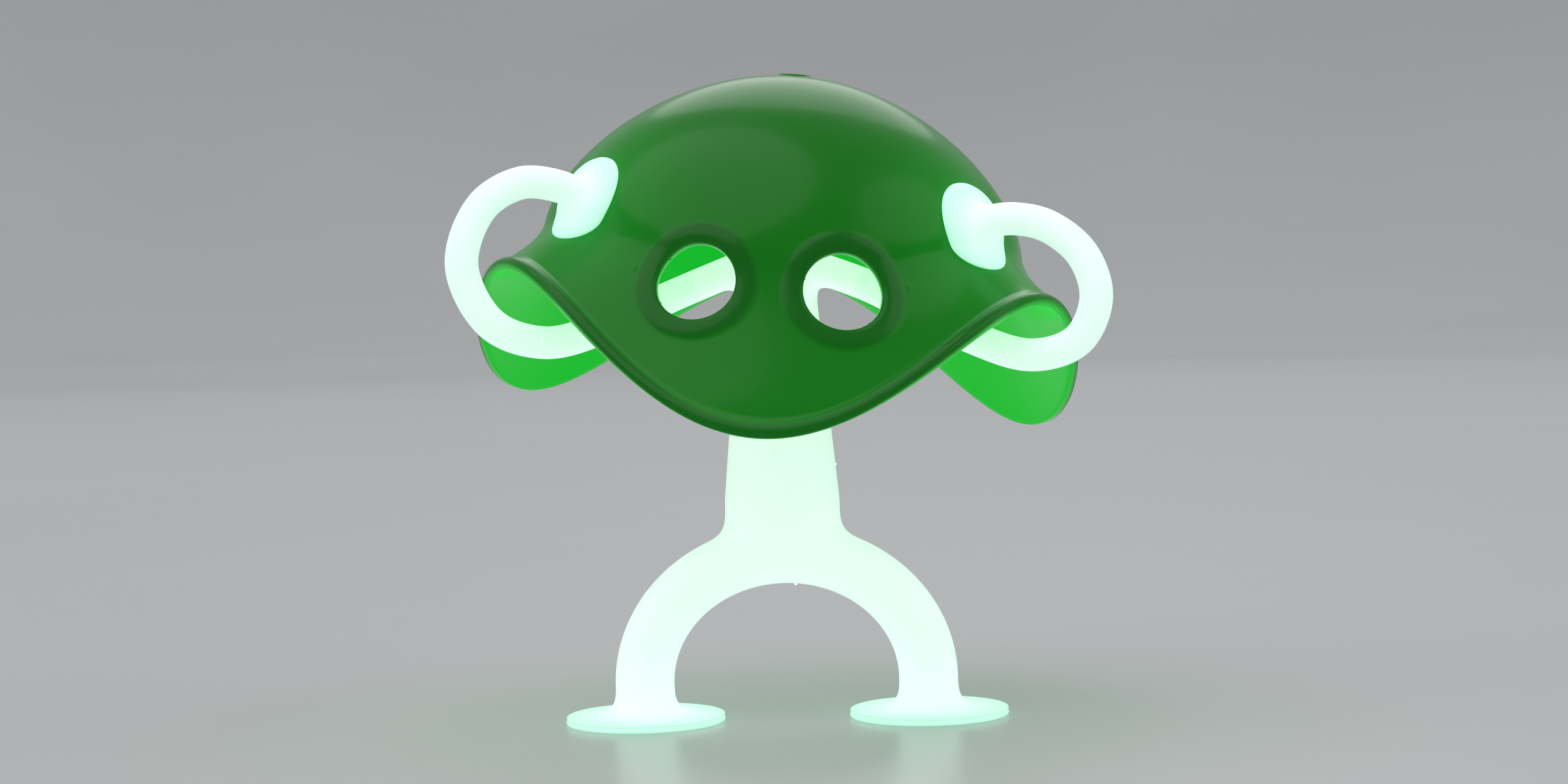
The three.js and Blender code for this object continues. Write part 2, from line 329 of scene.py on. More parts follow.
def grain_group() -> bpy.types.NodeTree:
    """Fine moulded grain over a broader unevenness, as a height; built once."""
    found = bpy.data.node_groups.get("moulded_grain")
    if found:
        return found
    group, source, result = new_group(
        "moulded_grain",
        [("Vector", "NodeSocketVector", (0, 0, 0)), ("Grain Scale", "NodeSocketFloat", 2500.0),
         ("Waviness Scale", "NodeSocketFloat", 120.0), ("Waviness", "NodeSocketFloat", 0.5)],
        [("Height", "NodeSocketFloat"), ("Mask", "NodeSocketFloat")],
    )
    fine = add_node(group, "ShaderNodeTexNoise", {"Vector": source.outputs["Vector"], "Scale": source.outputs["Grain Scale"], "Detail": 3.0, "Roughness": 0.6})
    broad = add_node(group, "ShaderNodeTexNoise", {"Vector": source.outputs["Vector"], "Scale": source.outputs["Waviness Scale"], "Detail": 2.0})
    height = add_node(group, "ShaderNodeMix", {"Factor": source.outputs["Waviness"], 2: fine.outputs["Fac"], 3: broad.outputs["Fac"]}, data_type="FLOAT")
    group.links.new(height.outputs[0], result.inputs["Height"])
    group.links.new(broad.outputs["Fac"], result.inputs["Mask"])
    return group


def handling_group() -> bpy.types.NodeTree:
    """Smudges and lint from handling, as a value for roughness and a mask for lint; built once."""
    found = bpy.data.node_groups.get("handling")
    if found:
        return found
    group, source, result = new_group(
        "handling",
        [("Vector", "NodeSocketVector", (0, 0, 0)), ("Low", "NodeSocketFloat", 0.1), ("High", "NodeSocketFloat", 0.3),
         ("Smudge Scale", "NodeSocketFloat", 40.0), ("Lint Scale", "NodeSocketFloat", 900.0)],
        [("Roughness", "NodeSocketFloat"), ("Lint", "NodeSocketFloat")],
    )
    smudge = add_node(group, "ShaderNodeTexNoise", {"Vector": source.outputs["Vector"], "Scale": source.outputs["Smudge Scale"], "Detail": 5.0, "Distortion": 0.6})
    spread = add_node(group, "ShaderNodeMapRange", {"Value": smudge.outputs["Fac"], "From Min": 0.35, "From Max": 0.72, "To Min": source.outputs["Low"], "To Max": source.outputs["High"]})
    specks = add_node(group, "ShaderNodeTexNoise", {"Vector": source.outputs["Vector"], "Scale": source.outputs["Lint Scale"], "Detail": 1.0})
    lint = add_node(group, "ShaderNodeMapRange", {"Value": specks.outputs["Fac"], "From Min": 0.72, "From Max": 0.8})
    group.links.new(spread.outputs["Result"], result.inputs["Roughness"])
    group.links.new(lint.outputs["Result"], result.inputs["Lint"])
    return group


@dataclass(frozen=True)
class Finish:
    """What a piece is made of. Each kind of finish fills in its own material."""

    name: str

    def material(self) -> bpy.types.Material:
        """The finish's material, built the first time it is asked for."""
        found = bpy.data.materials.get(self.name)
        if found:
            return found
        made = bpy.data.materials.new(self.name)
        made.use_nodes = True
        made.node_tree.nodes.clear()
        shader = made.node_tree.nodes.new("ShaderNodeBsdfPrincipled")
        output = made.node_tree.nodes.new("ShaderNodeOutputMaterial")
        made.node_tree.links.new(shader.outputs["BSDF"], output.inputs["Surface"])
        self.dress(made.node_tree, shader)
        return made

    def dress(self, tree: bpy.types.NodeTree, shader: bpy.types.Node) -> None:
        """Sets up the shader; each kind of finish has its own way."""
        raise NotImplementedError


def object_coordinates(tree: bpy.types.NodeTree) -> bpy.types.NodeSocket:
    """The piece's own coordinates."""
    return add_node(tree, "ShaderNodeTexCoord").outputs["Object"]


def mix_colours(tree: bpy.types.NodeTree, share: bpy.types.NodeSocket, first: object, second: object) -> bpy.types.NodeSocket:
    """A blend of two colours.

    Args:
        tree: The material's tree.
        share: How much of the second colour shows, over the surface.
        first: A colour or a socket that gives one.
        second: The same for the other colour.

    Returns:
        The socket of the blended colour.
    """
    return add_node(tree, "ShaderNodeMix", {"Factor": share, 6: first, 7: second}, data_type="RGBA").outputs[2]


@dataclass(frozen=True)
class GlowSilicone(Finish):
    """Soft silicone that glows: whitest where it is thick, greener where it is thin. The emission is partly its own
    glow and partly painted light for the light that scatters through it.

    Attributes:
        thick: The glow's colour in thick places.
        thin: The glow's colour in thin places and at edges.
        skin_thick: The skin's own colour in thick places.
        skin_thin: The skin's own colour in thin places.
        glow: The strength of the glow.
    """

    name: str = "glow_silicone"
    thick: tuple[float, float, float, float] = (0.88, 1.0, 0.96, 1)
    thin: tuple[float, float, float, float] = (0.5, 0.98, 0.76, 1)
    skin_thick: tuple[float, float, float, float] = (0.66, 0.74, 0.71, 1)
    skin_thin: tuple[float, float, float, float] = (0.48, 0.72, 0.6, 1)
    glow: float = 0.66

    def dress(self, tree: bpy.types.NodeTree, shader: bpy.types.Node) -> None:
        """A satin, slightly uneven skin over an even glow."""
        place = object_coordinates(tree)
        thinness = add_node(tree, "ShaderNodeAttribute", attribute_name="thinness")
        grain = add_node(tree, "ShaderNodeGroup", node_tree=grain_group())
        tree.links.new(place, grain.inputs["Vector"])
        grain.inputs["Waviness"].default_value = 0.45
        marks = add_node(tree, "ShaderNodeGroup", {}, node_tree=handling_group())
        tree.links.new(place, marks.inputs["Vector"])
        marks.inputs["Low"].default_value = 0.36
        marks.inputs["High"].default_value = 0.52
        cloud = add_node(tree, "ShaderNodeTexNoise", {"Vector": place, "Scale": 55.0, "Detail": 3.0})
        shade = add_node(tree, "ShaderNodeMath", {0: cloud.outputs["Fac"], 1: 0.22}, operation="MULTIPLY")
        tint = add_node(tree, "ShaderNodeMath", {0: thinness.outputs["Fac"], 1: shade.outputs[0]}, operation="ADD", use_clamp=True)
        bump = add_node(tree, "ShaderNodeBump", {"Height": grain.outputs["Height"], "Strength": 0.12, "Distance": 0.0002})
        tree.links.new(mix_colours(tree, tint.outputs[0], self.skin_thick, self.skin_thin), shader.inputs["Base Color"])
        tree.links.new(mix_colours(tree, tint.outputs[0], self.thick, self.thin), shader.inputs["Emission Color"])
        tree.links.new(marks.outputs["Roughness"], shader.inputs["Roughness"])
        tree.links.new(bump.outputs["Normal"], shader.inputs["Normal"])
        # Emission: the silicone's own glow, partly painted light for light scattered through it.
        shader.inputs["Emission Strength"].default_value = self.glow
        shader.inputs["IOR"].default_value = 1.41
        shader.inputs["Sheen Weight"].default_value = 0.3
        shader.inputs["Sheen Tint"].default_value = (0.35, 1.0, 0.65, 1)
        shader.inputs["Sheen Roughness"].default_value = 0.4


@dataclass(frozen=True)
class ShellPlastic(Finish):
    """Glossy green see-through plastic, with the light from the glowing silicone under it painted on as emission.

    Attributes:
        face: The colour of the outside.
        thick_tint_and_shade: The darker colour of the beads and rings, where the plastic is thickest: partly the deeper
            tint of thick plastic, partly painted shade where less of the glow comes through.
        painted_glow_lining: The colour of the inside, a lighter green that is painted light from the glow under the
            shell.
        painted_dim_glow: Painted light: the silicone's glow coming through everywhere, as emission.
        painted_bright_glow: Painted light: the stronger glow next to the silicone, as emission.
    """

    name: str = "green_shell_plastic"
    face: tuple[float, float, float, float] = (0.0, 0.125, 0.0, 1)
    thick_tint_and_shade: tuple[float, float, float, float] = (0.0, 0.05, 0.0, 1)
    painted_glow_lining: tuple[float, float, float, float] = (0.0, 0.3, 0.003, 1)
    painted_dim_glow: tuple[float, float, float, float] = (0.0, 0.045, 0.0, 1)
    painted_bright_glow: tuple[float, float, float, float] = (0.0, 0.55, 0.03, 1)

    def dress(self, tree: bpy.types.NodeTree, shader: bpy.types.Node) -> None:
        """A hard gloss with faint smudges, with painted glow as emission, stronger where the wall faces the silicone.
        """
        place = object_coordinates(tree)
        inside, painted_shell_glow, thick = (
            add_node(tree, "ShaderNodeAttribute", attribute_name=name) for name in ("painted_glow_lining", "painted_shell_glow", "thick"))
        marks = add_node(tree, "ShaderNodeGroup", node_tree=handling_group())
        tree.links.new(place, marks.inputs["Vector"])
        marks.inputs["Low"].default_value = 0.16
        marks.inputs["High"].default_value = 0.3
        marks.inputs["Smudge Scale"].default_value = 22.0
        grain = add_node(tree, "ShaderNodeGroup", node_tree=grain_group())
        tree.links.new(place, grain.inputs["Vector"])
        grain.inputs["Waviness Scale"].default_value = 60.0
        grain.inputs["Waviness"].default_value = 0.9
        # Beads and rings darker: partly the deeper tint of thick plastic, partly painted shade.
        outside = mix_colours(tree, thick.outputs["Fac"], self.face, self.thick_tint_and_shade)
        # The inner face gets a lighter green: painted light from the glow under the shell.
        base = mix_colours(tree, inside.outputs["Fac"], outside, self.painted_glow_lining)
        # Painted light: emission that stands in for the silicone's glow shining on and through the shell.
        glow = mix_colours(tree, painted_shell_glow.outputs["Fac"], self.painted_dim_glow, self.painted_bright_glow)
        bump = add_node(tree, "ShaderNodeBump", {"Height": grain.outputs["Height"], "Strength": 0.08, "Distance": 0.0003})
        tree.links.new(base, shader.inputs["Base Color"])
        tree.links.new(glow, shader.inputs["Emission Color"])
        tree.links.new(marks.outputs["Roughness"], shader.inputs["Roughness"])
        tree.links.new(bump.outputs["Normal"], shader.inputs["Normal"])
        shader.inputs["Emission Strength"].default_value = 1.0
        shader.inputs["IOR"].default_value = 1.5
        shader.inputs["Specular IOR Level"].default_value = 0.22
        shader.inputs["Coat Weight"].default_value = 0.06
        shader.inputs["Coat Roughness"].default_value = 0.06


@dataclass(frozen=True)
class PaleFloor(Finish):
    """The plain pale floor."""

    name: str = "pale_floor"

    def dress(self, tree: bpy.types.NodeTree, shader: bpy.types.Node) -> None:
        """A faintly mottled matt surface."""
        cloud = add_node(tree, "ShaderNodeTexNoise", {"Vector": object_coordinates(tree), "Scale": 3.0, "Detail": 4.0})
        tone = add_node(tree, "ShaderNodeMix", {"Factor": cloud.outputs["Fac"], 6: (0.55, 0.56, 0.57, 1), 7: (0.6, 0.6, 0.6, 1)}, data_type="RGBA")
        tree.links.new(tone.outputs[2], shader.inputs["Base Color"])
        shader.inputs["Roughness"].default_value = 0.32


SILICONE = GlowSilicone()
PLASTIC = ShellPlastic()


# ---- the shell ---------------------------------------------------------------------------


@dataclass(frozen=True)
class ShellForm:
    """The shell's outer surface by rule: a dome, a waist and a skirt that flares in three arches.

    A place on it is an azimuth in radians, 0 at the front, and a way down: 0 at the top, 1 at the
    waist and 2 at the rim. Sizes are in millimetres.
    """

    height: float = 65.6
    wall: float = 1.7
    lobes: int = 3
    waist_radius: float = 46.1
    waist_radius_swing: float = 0.6
    waist_height: float = 33.3
    waist_height_swing: float = -3.2
    rim_radius: float = 58.3
    rim_radius_swing: float = 1.0
    arch_rise: float = 26.8
    lobe_flare: float = 7.8
    arch_flare: float = 69.0
    waist_flare: float = 8.5
    roll: float = 5.32
    pitch: float = 1.51
    yaw: float = -2.31
    offset: float = 1.4
    tip_height: float = 57.2

    def curves(self, azimuth: np.ndarray) -> tuple[list[np.ndarray], list[np.ndarray]]:
        """The control points of the dome's and the skirt's lines at some azimuths.

        Args:
            azimuth: The azimuths, in radians.

        Returns:
            Four control points each, of radius and height.
        """
        swing = np.cos(self.lobes * azimuth)
        arch = (1 - swing) / 2
        waist = np.stack([self.waist_radius + self.waist_radius_swing * swing, self.waist_height + self.waist_height_swing * swing], -1)
        rim = np.stack([self.rim_radius + self.rim_radius_swing * swing, self.arch_rise * arch], -1)
        flare = np.radians(self.lobe_flare + (self.arch_flare - self.lobe_flare) * arch)
        rim_way = np.stack([np.sin(flare), -np.cos(flare)], -1)
        waist_angle = math.radians(self.waist_flare)
        waist_way = np.array([math.sin(waist_angle), -math.cos(waist_angle)])
        drop = (self.height - waist[..., 1])[..., None]
        reach = np.linalg.norm(rim - waist, axis=-1, keepdims=True)
        top = np.zeros_like(waist)
        top[..., 1] = self.height
        shoulder = np.stack([0.51 * waist[..., 0], np.full(waist.shape[:-1], self.height)], -1)
        dome = [top, shoulder, waist - 0.425 * drop * waist_way, waist]
        skirt = [waist, waist + 0.236 * reach * waist_way, rim - 0.194 * reach * rim_way, rim]
        return dome, skirt

    def skirt_length(self, azimuth: np.ndarray) -> np.ndarray:
        """The length of the skirt's line at some azimuths."""
        _, skirt = self.curves(azimuth)
        t = np.linspace(0, 1, 33)
        line = bezier([c[..., None, :] for c in skirt], np.broadcast_to(t, (*azimuth.shape, t.size)))
        return np.linalg.norm(np.diff(line, axis=-2), axis=-1).sum(-1)

    def point(self, azimuth: np.ndarray, way: np.ndarray) -> np.ndarray:
        """Points of the surface in the shell's own upright frame.

        Args:
            azimuth: The azimuths.
            way: The ways down, of the same shape.

        Returns:
            One point to a row.
        """
        dome, skirt = self.curves(azimuth)
        t = np.linspace(0, 1, 33)
        line = bezier([c[..., None, :] for c in skirt], np.broadcast_to(t, (*azimuth.shape, t.size)))
        walked = np.cumsum(np.linalg.norm(np.diff(line, axis=-2), axis=-1), -1)
        walked = np.concatenate([np.zeros((*azimuth.shape, 1)), walked], -1)
        goal = np.clip(way - 1, 0, 1) * walked[..., -1]
        index = np.clip((walked < goal[..., None]).sum(-1) - 1, 0, t.size - 2)[..., None]
        low = np.take_along_axis(walked, index, -1)[..., 0]
        high = np.take_along_axis(walked, index + 1, -1)[..., 0]
        along = (index[..., 0] + (goal - low) / np.maximum(high - low, 1e-9)) / (t.size - 1)
        flat = np.where((way <= 1)[..., None], bezier(dome, np.clip(way, 0, 1)), bezier(skirt, along))
        return np.stack([flat[..., 0] * np.sin(azimuth), -flat[..., 0] * np.cos(azimuth), flat[..., 1]], -1)

    def normal(self, azimuth: np.ndarray, way: np.ndarray) -> np.ndarray:
        """Outward normals of the surface; the arguments are as for point."""
        step = 1e-3
        safe = np.clip(way, 0.004, 2.0)
        ahead = np.minimum(safe + step, 2.0)
        along = self.point(azimuth, ahead) - self.point(azimuth, ahead - 2 * step)
        across = self.point(azimuth + step, safe) - self.point(azimuth - step, safe)
        normals = unit(np.cross(along, across))
        return np.where((way < 0.004)[..., None], UP, normals)

    def lifted(self, azimuth: np.ndarray, way: np.ndarray, lift: np.ndarray | float) -> np.ndarray:
        """Points at some height above the surface, or below it where the lift is negative."""
        return self.point(azimuth, way) + self.normal(azimuth, way) * np.asarray(lift)[..., None]

    def seek(self, centre: np.ndarray, across: np.ndarray, up: np.ndarray, x: np.ndarray, y: np.ndarray,
             lift: np.ndarray | float, start: tuple[float, float]) -> tuple[np.ndarray, np.ndarray]:
        """The places whose lifted points show at given coordinates of a plane, by Newton's method.

        Args:
            centre: The plane's middle.
            across: Its first direction.
            up: Its second direction.
            x: Wanted coordinates along the first direction.
            y: Wanted coordinates along the second.
            lift: The height above the surface.
            start: A first guess of azimuth and way.

        Returns:
            The azimuths and the ways.
        """
        azimuth = np.full(x.shape, start[0])
        way = np.full(x.shape, start[1])
        step = 1e-3

        def miss(a: np.ndarray, w: np.ndarray) -> tuple[np.ndarray, np.ndarray]:
            """How far the points are from where they should show."""
            away = self.lifted(a, w, lift) - centre
            return away @ across - x, away @ up - y

        for _ in range(12):
            fx, fy = miss(azimuth, way)
            ax, ay = miss(azimuth + step, way)
            wx, wy = miss(azimuth, way + step)
            a11, a21 = (ax - fx) / step, (ay - fy) / step
            a12, a22 = (wx - fx) / step, (wy - fy) / step
            scale = a11 * a22 - a12 * a21
            scale = np.where(np.abs(scale) < 1e-6, 1e-6, scale)
            azimuth = azimuth - np.clip((a22 * fx - a12 * fy) / scale, -0.2, 0.2)
            way = np.clip(way - np.clip((a11 * fy - a21 * fx) / scale, -0.25, 0.25), 0.01, 1.99)
        return azimuth, way

    @property
    def turn(self) -> np.ndarray:
        """The rotation from the shell's upright frame to the way it is worn."""
        return rotation("Y", self.roll) @ rotation("X", self.pitch) @ rotation("Z", self.yaw)

    def worn(self, points: np.ndarray) -> np.ndarray:
        """Points of the upright frame as they are worn, round the figure's axis."""
        middle = np.array([0, 0, self.height / 2])
        return (points - middle) @ self.turn.T + middle + np.array([self.offset, 0, self.tip_height])

    def unworn(self, points: np.ndarray) -> np.ndarray:
        """Points round the figure's axis, back in the shell's upright frame."""
        middle = np.array([0, 0, self.height / 2])
        return (points - middle - np.array([self.offset, 0, self.tip_height])) @ self.turn + middle


FORM = ShellForm()


class Zone(Enum):
    """The stretches of the shell's skin from its top to its rim."""

    DOME = "dome"
    SKIRT = "skirt"
    BEAD = "bead"


@dataclass(frozen=True)
class Row:
    """A row of the shell's corners.

    Attributes:
        zone: The stretch that it lies on.
        share: How far down that stretch it lies, from 0 to 1.
        lift: How far it stands out from the outer surface.
    """

    zone: Zone
    share: float
    lift: float = 0.0

    def way(self, azimuth: np.ndarray, bead_width: float) -> np.ndarray:
        """The row's ways down at some azimuths, above or along a bead of the given width."""
        if self.zone is Zone.DOME:
            return np.full(azimuth.shape, self.share)
        bead = bead_width / FORM.skirt_length(azimuth)
        if self.zone is Zone.SKIRT:
            return 1 + self.share * (1 - bead)
        return 2 - (1 - self.share) * bead


@dataclass
class Shell:
    """The moulded shell with its rim bead, its raised eye rings and the gate mark on top.

    Attributes:
        columns: How many columns of faces go round it.
        dome_rows: Rows of the dome, below the gate mark.
        skirt_rows: Rows of the skirt, above the bead.
        bead_width: How wide the bead along the rim is.
        bead: Share of the bead's width to how far it stands out.
        bead_inside: The same for the edge's inner side, from the wall.
        eye_azimuth: Degrees from the front to each eye.
        eye_radius: How far the eyes are from the shell's axis.
        eye_height: How high they are.
        eye_lean: Degrees that the holes look upwards.
        eye_turn: Degrees that they look outwards.
        hole: The radius of the hole.
        ring: Distance from the eye's middle to how far the ring stands out.
        ring_inside: The same on the inner face, from the wall.
        gate: Distance from the top to how far the gate mark stands out.
    """

    columns: int = 240
    dome_rows: int = 50
    skirt_rows: int = 24
    bead_width: float = 2.8
    bead: tuple[tuple[float, float], ...] = (
        (0.0, 0.0), (0.07, 0.03), (0.15, 0.11), (0.25, 0.25), (0.36, 0.38), (0.48, 0.46),
        (0.6, 0.48), (0.72, 0.45), (0.84, 0.34), (0.93, 0.16), (0.985, -0.1), (1.0, -0.42))
    bead_inside: tuple[tuple[float, float], ...] = ((1.0, 0.45), (0.985, 0.15), (0.93, 0.0), (0.5, 0.0))
    eye_azimuth: float = 15.9
    eye_radius: float = 48.1
    eye_height: float = 26.0
    eye_lean: float = 20.5
    eye_turn: float = 13.0
    hole: float = 7.2
    ring: tuple[tuple[float, float], ...] = (
        (12.0, 0.0), (11.6, 0.01), (11.3, 0.05), (11.0, 0.13), (10.7, 0.24), (10.3, 0.36), (9.8, 0.46),
        (9.2, 0.52), (8.6, 0.53), (8.1, 0.49), (7.75, 0.4), (7.5, 0.26), (7.32, 0.06), (7.23, -0.16), (7.2, -0.4))
    ring_inside: tuple[tuple[float, float], ...] = ((12.0, 0.0), (8.6, 0.0), (7.5, 0.0), (7.28, 0.12), (7.2, 0.35))
    gate: tuple[tuple[float, float], ...] = (
        (0.0, 0.36), (0.7, 0.36), (1.5, 0.38), (2.2, 0.4), (2.7, 0.39), (2.95, 0.32), (3.1, 0.18), (3.2, 0.05), (3.4, 0.0))

    def rows(self) -> tuple[list[Row], int]:
        """The rows of corners from the outer top, round the rim, to the inner top.

        Returns:
            The rows, and how many rows at each end lie opposite each other through the wall.
        """
        near_top = 3 * 0.51 * FORM.waist_radius
        gate_ways = [radius / near_top for radius, _ in self.gate]
        opposite = [Row(Zone.DOME, way) for way in gate_ways]
        opposite += [Row(Zone.DOME, way) for way in np.linspace(gate_ways[-1], 1, self.dome_rows + 1)[1:]]
        opposite += [Row(Zone.SKIRT, share) for share in np.linspace(0, 1, self.skirt_rows + 1)[1:]]
        gate_lifts = [lift for _, lift in self.gate]
        lifts = gate_lifts + [0.0] * (len(opposite) - len(gate_lifts))
        outer = [replace(row, lift=lift) for row, lift in zip(opposite, lifts)]
        outer += [Row(Zone.BEAD, share, lift) for share, lift in self.bead]
        edge = [Row(Zone.BEAD, share, lift - FORM.wall) for share, lift in self.bead_inside]
        inner = [replace(row, lift=-FORM.wall) for row in reversed(opposite)]
        return outer + edge + inner, len(opposite)

    def eye_frame(self, side: Side) -> tuple[np.ndarray, np.ndarray, np.ndarray]:
        """An eye's middle with the two directions of its plane, in the upright frame."""
        azimuth = math.radians(side.value * self.eye_azimuth)
        centre = np.array([self.eye_radius * math.sin(azimuth), -self.eye_radius * math.cos(azimuth), self.eye_height])
        turn, lean = math.radians(side.value * self.eye_turn), math.radians(self.eye_lean)
        outward = np.array([math.sin(turn) * math.cos(lean), -math.cos(turn) * math.cos(lean), math.sin(lean)])
        across = unit(np.cross(UP, outward))
        return centre, across, np.cross(outward, across)

    def window(self, side: Side, grid: np.ndarray, last: int) -> tuple[range, range]:
        """The columns and rows that make way for an eye's ring in the outer skin.

        Args:
            side: Which eye.
            grid: The grid's points, rows by columns.
            last: The last row that may be part of it.

        Returns:
            The columns and the rows of the window, counted from the front and from the top.
        """
        centre, _, up = self.eye_frame(side)
        step = 360 / self.columns
        reach = round(2 * self.eye_azimuth / step) - 1
        columns = range(1, reach + 1) if side is Side.RIGHT else range(-reach, 0)
        middle = round(side.value * self.eye_azimuth / step) % self.columns
        heights = (grid[:last, middle] - centre) @ up
        inside = np.flatnonzero(np.abs(heights) < self.ring[0][0] + 0.9)
        return columns, range(int(inside[0]) - 1, int(inside[-1]) + 2)

    def build(self) -> bpy.types.Object:
        """The whole shell as one closed mesh.

        Returns:
            The shell, riding on the upper body.
        """
        azimuths = np.arange(self.columns) * 2 * math.pi / self.columns
        rows, opposite = self.rows()
        ways = np.array([row.way(azimuths, self.bead_width) for row in rows])
        lifts = np.repeat([[row.lift] for row in rows], self.columns, axis=1)
        grid = FORM.lifted(np.broadcast_to(azimuths, ways.shape), ways, lifts)
        index = np.arange(grid.shape[0] * self.columns).reshape(grid.shape[:2])
        index[[0, -1]] = index[[0, -1], :1]
        points = [grid.reshape(-1, 3)]
        gate_rows = len(self.gate)
        stands_out = [(lifts * (np.arange(len(rows)) >= gate_rows)[:, None]).ravel()]
        closed = np.ones(index.shape, bool)
        faces: list[tuple[int, ...]] = []
        for side in Side:
            columns, window = self.window(side, grid, opposite)
            edge = [(window[0], c) for c in columns[:-1]] + [(r, columns[-1]) for r in window[:-1]]
            edge += [(window[-1], c) for c in columns[:0:-1]] + [(r, columns[0]) for r in window[:0:-1]]
            angles = None
            holes = []
            for outside in (True, False):
                mirrored = [r if outside else len(rows) - 1 - r for r, _ in edge]
                cells = window[:-1] if outside else [len(rows) - 2 - r for r in window[:-1]]
                closed[np.ix_(cells, [c % self.columns for c in columns[:-1]])] = False
                loop = [int(index[r, c % self.columns]) for r, (_, c) in zip(mirrored, edge)]
                rim = np.array([(c * 2 * math.pi / self.columns, ways[r, c % self.columns]) for r, c in edge])
                profile = self.ring if outside else self.ring_inside
                base = 0.0 if outside else -FORM.wall
                rings, angles = self.eye_rings(side, profile, base, rim, angles)
                start = sum(len(p) for p in points)
                ids = [loop] + [list(range(start + k * len(loop), start + (k + 1) * len(loop))) for k in range(len(rings))]
                points += rings
                ring_lifts = [0.0, 0.0] + [lift if outside else -FORM.wall for _, lift in profile]
                stands_out += [np.full(len(loop), lift) for lift in ring_lifts]
                for first, second in zip(ids, ids[1:]):
                    faces += ring_faces(first, second)
                holes.append(ids[-1])
            faces += ring_faces(*holes)
        for row, column in zip(*np.nonzero(closed[:-1])):
            after = (column + 1) % self.columns
            quad = (index[row, column], index[row + 1, column], index[row + 1, after], index[row, after])
            corners = tuple(dict.fromkeys(int(i) for i in quad))
            if len(corners) > 2:
                faces.append(corners)
        shell = mesh_piece("shell_moulding", FORM.worn(np.vstack(points)), faces, PLASTIC)
        lift = np.concatenate(stands_out)
        # Marks the beads and rings, whose darker colour is partly tint and partly painted shade.
        store(shell, "thick", np.clip(lift / 0.3, 0, 1))
        # Marks the inner face, which gets a painted lighter green and painted glow.
        store(shell, "painted_glow_lining", np.clip((-lift - 0.1) / 1.2, 0, 1))
        self.finish_mesh(shell)
        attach(shell, "upper_body")
        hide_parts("shell")
        return shell

    def eye_rings(self, side: Side, profile: Sequence[tuple[float, float]], base: float, rim: np.ndarray,
                  angles: np.ndarray | None) -> tuple[list[np.ndarray], np.ndarray]:
        """Rings of corners from a window's edge in to the eye's hole.

        Args:
            side: Which eye.
            profile: Distance from the eye's middle to lift, from outside in.
            base: The skin's own lift.
            rim: Azimuth and way of each corner of the window's edge.
            angles: The corners' angles round the hole, or None to take the edge's own.

        Returns:
            The rings, and the angles of their corners.
        """
        centre, across, up = self.eye_frame(side)
        if angles is None:
            edge = FORM.lifted(rim[:, 0], rim[:, 1], np.full(len(rim), base)) - centre
            angles = np.arctan2(edge @ up, edge @ across)
        start = (math.radians(side.value * self.eye_azimuth), 1.15)
        rings: list[np.ndarray] = []
        for radius, lift in profile:
            lifts = np.full(angles.shape, base + lift)
            azimuth, way = FORM.seek(centre, across, up, radius * np.cos(angles), radius * np.sin(angles), lifts, start)
            if not rings:
                for share in (0.4, 0.75):
                    between = rim * (1 - share) + np.stack([azimuth, way], -1) * share
                    rings.append(FORM.lifted(between[:, 0], between[:, 1], np.full(way.shape, base)))
            rings.append(FORM.lifted(azimuth, way, lifts))
        return rings, angles

    def finish_mesh(self, shell: bpy.types.Object) -> None:
        """Drops unused corners, turns faces outwards and paints on the light that the glow would cast on the shell."""
        work = bmesh.new()
        work.from_mesh(shell.data)
        bmesh.ops.delete(work, geom=[v for v in work.verts if not v.link_faces], context="VERTS")
        bmesh.ops.recalc_face_normals(work, faces=work.faces)
        work.to_mesh(shell.data)
        work.free()
        shell.data.polygons.foreach_set("use_smooth", [True] * len(shell.data.polygons))
        corners = np.array([v.co for v in shell.data.vertices]) / MM - AXIS
        inward = np.empty(len(corners), np.float32)
        shell.data.attributes["painted_glow_lining"].data.foreach_get("value", inward)
        # Painted light: a ring of glow round each hand's seat at rest, glow on the inner face, and a faint glow that
        # fades out towards the top.
        painted_halo = sum(self.painted_halo(np.linalg.norm(corners - arm.seat, axis=1)) for arm in ARMS)
        low = np.clip((corners[:, 2] - 60) / 60, 0, 1)
        store(shell, "painted_shell_glow", np.clip(0.75 * painted_halo + 0.5 * inward + 0.06 * (1 - low), 0, 1))

    def painted_halo(self, distance: np.ndarray) -> np.ndarray:
        """The painted ring of light that a hand's glow would cast on the shell, by distance from the middle of the
        hand's seat at rest.
        """
        beyond = distance - 8.6
        close = 0.1 * np.exp(-np.square(beyond / 1.8))
        return close + 0.16 * np.exp(-np.square(beyond.clip(0) / 12.0))


# ---- smooth solids by distance -----------------------------------------------------------


@dataclass
class Tube:
    """A round rod along a fine line, as a distance."""

    line: np.ndarray
    radius: float

    def distance(self, points: np.ndarray) -> np.ndarray:
        """The distance from the rod's surface, negative inside."""
        nearest = np.full(len(points), 1e9)
        for start, end in zip(self.line, self.line[1:]):
            along = end - start
            share = np.clip((points - start) @ along / float(along @ along), 0, 1)
            gap = points - start - share[:, None] * along
            nearest = np.minimum(nearest, np.einsum("ij,ij->i", gap, gap))
        return np.sqrt(nearest) - self.radius


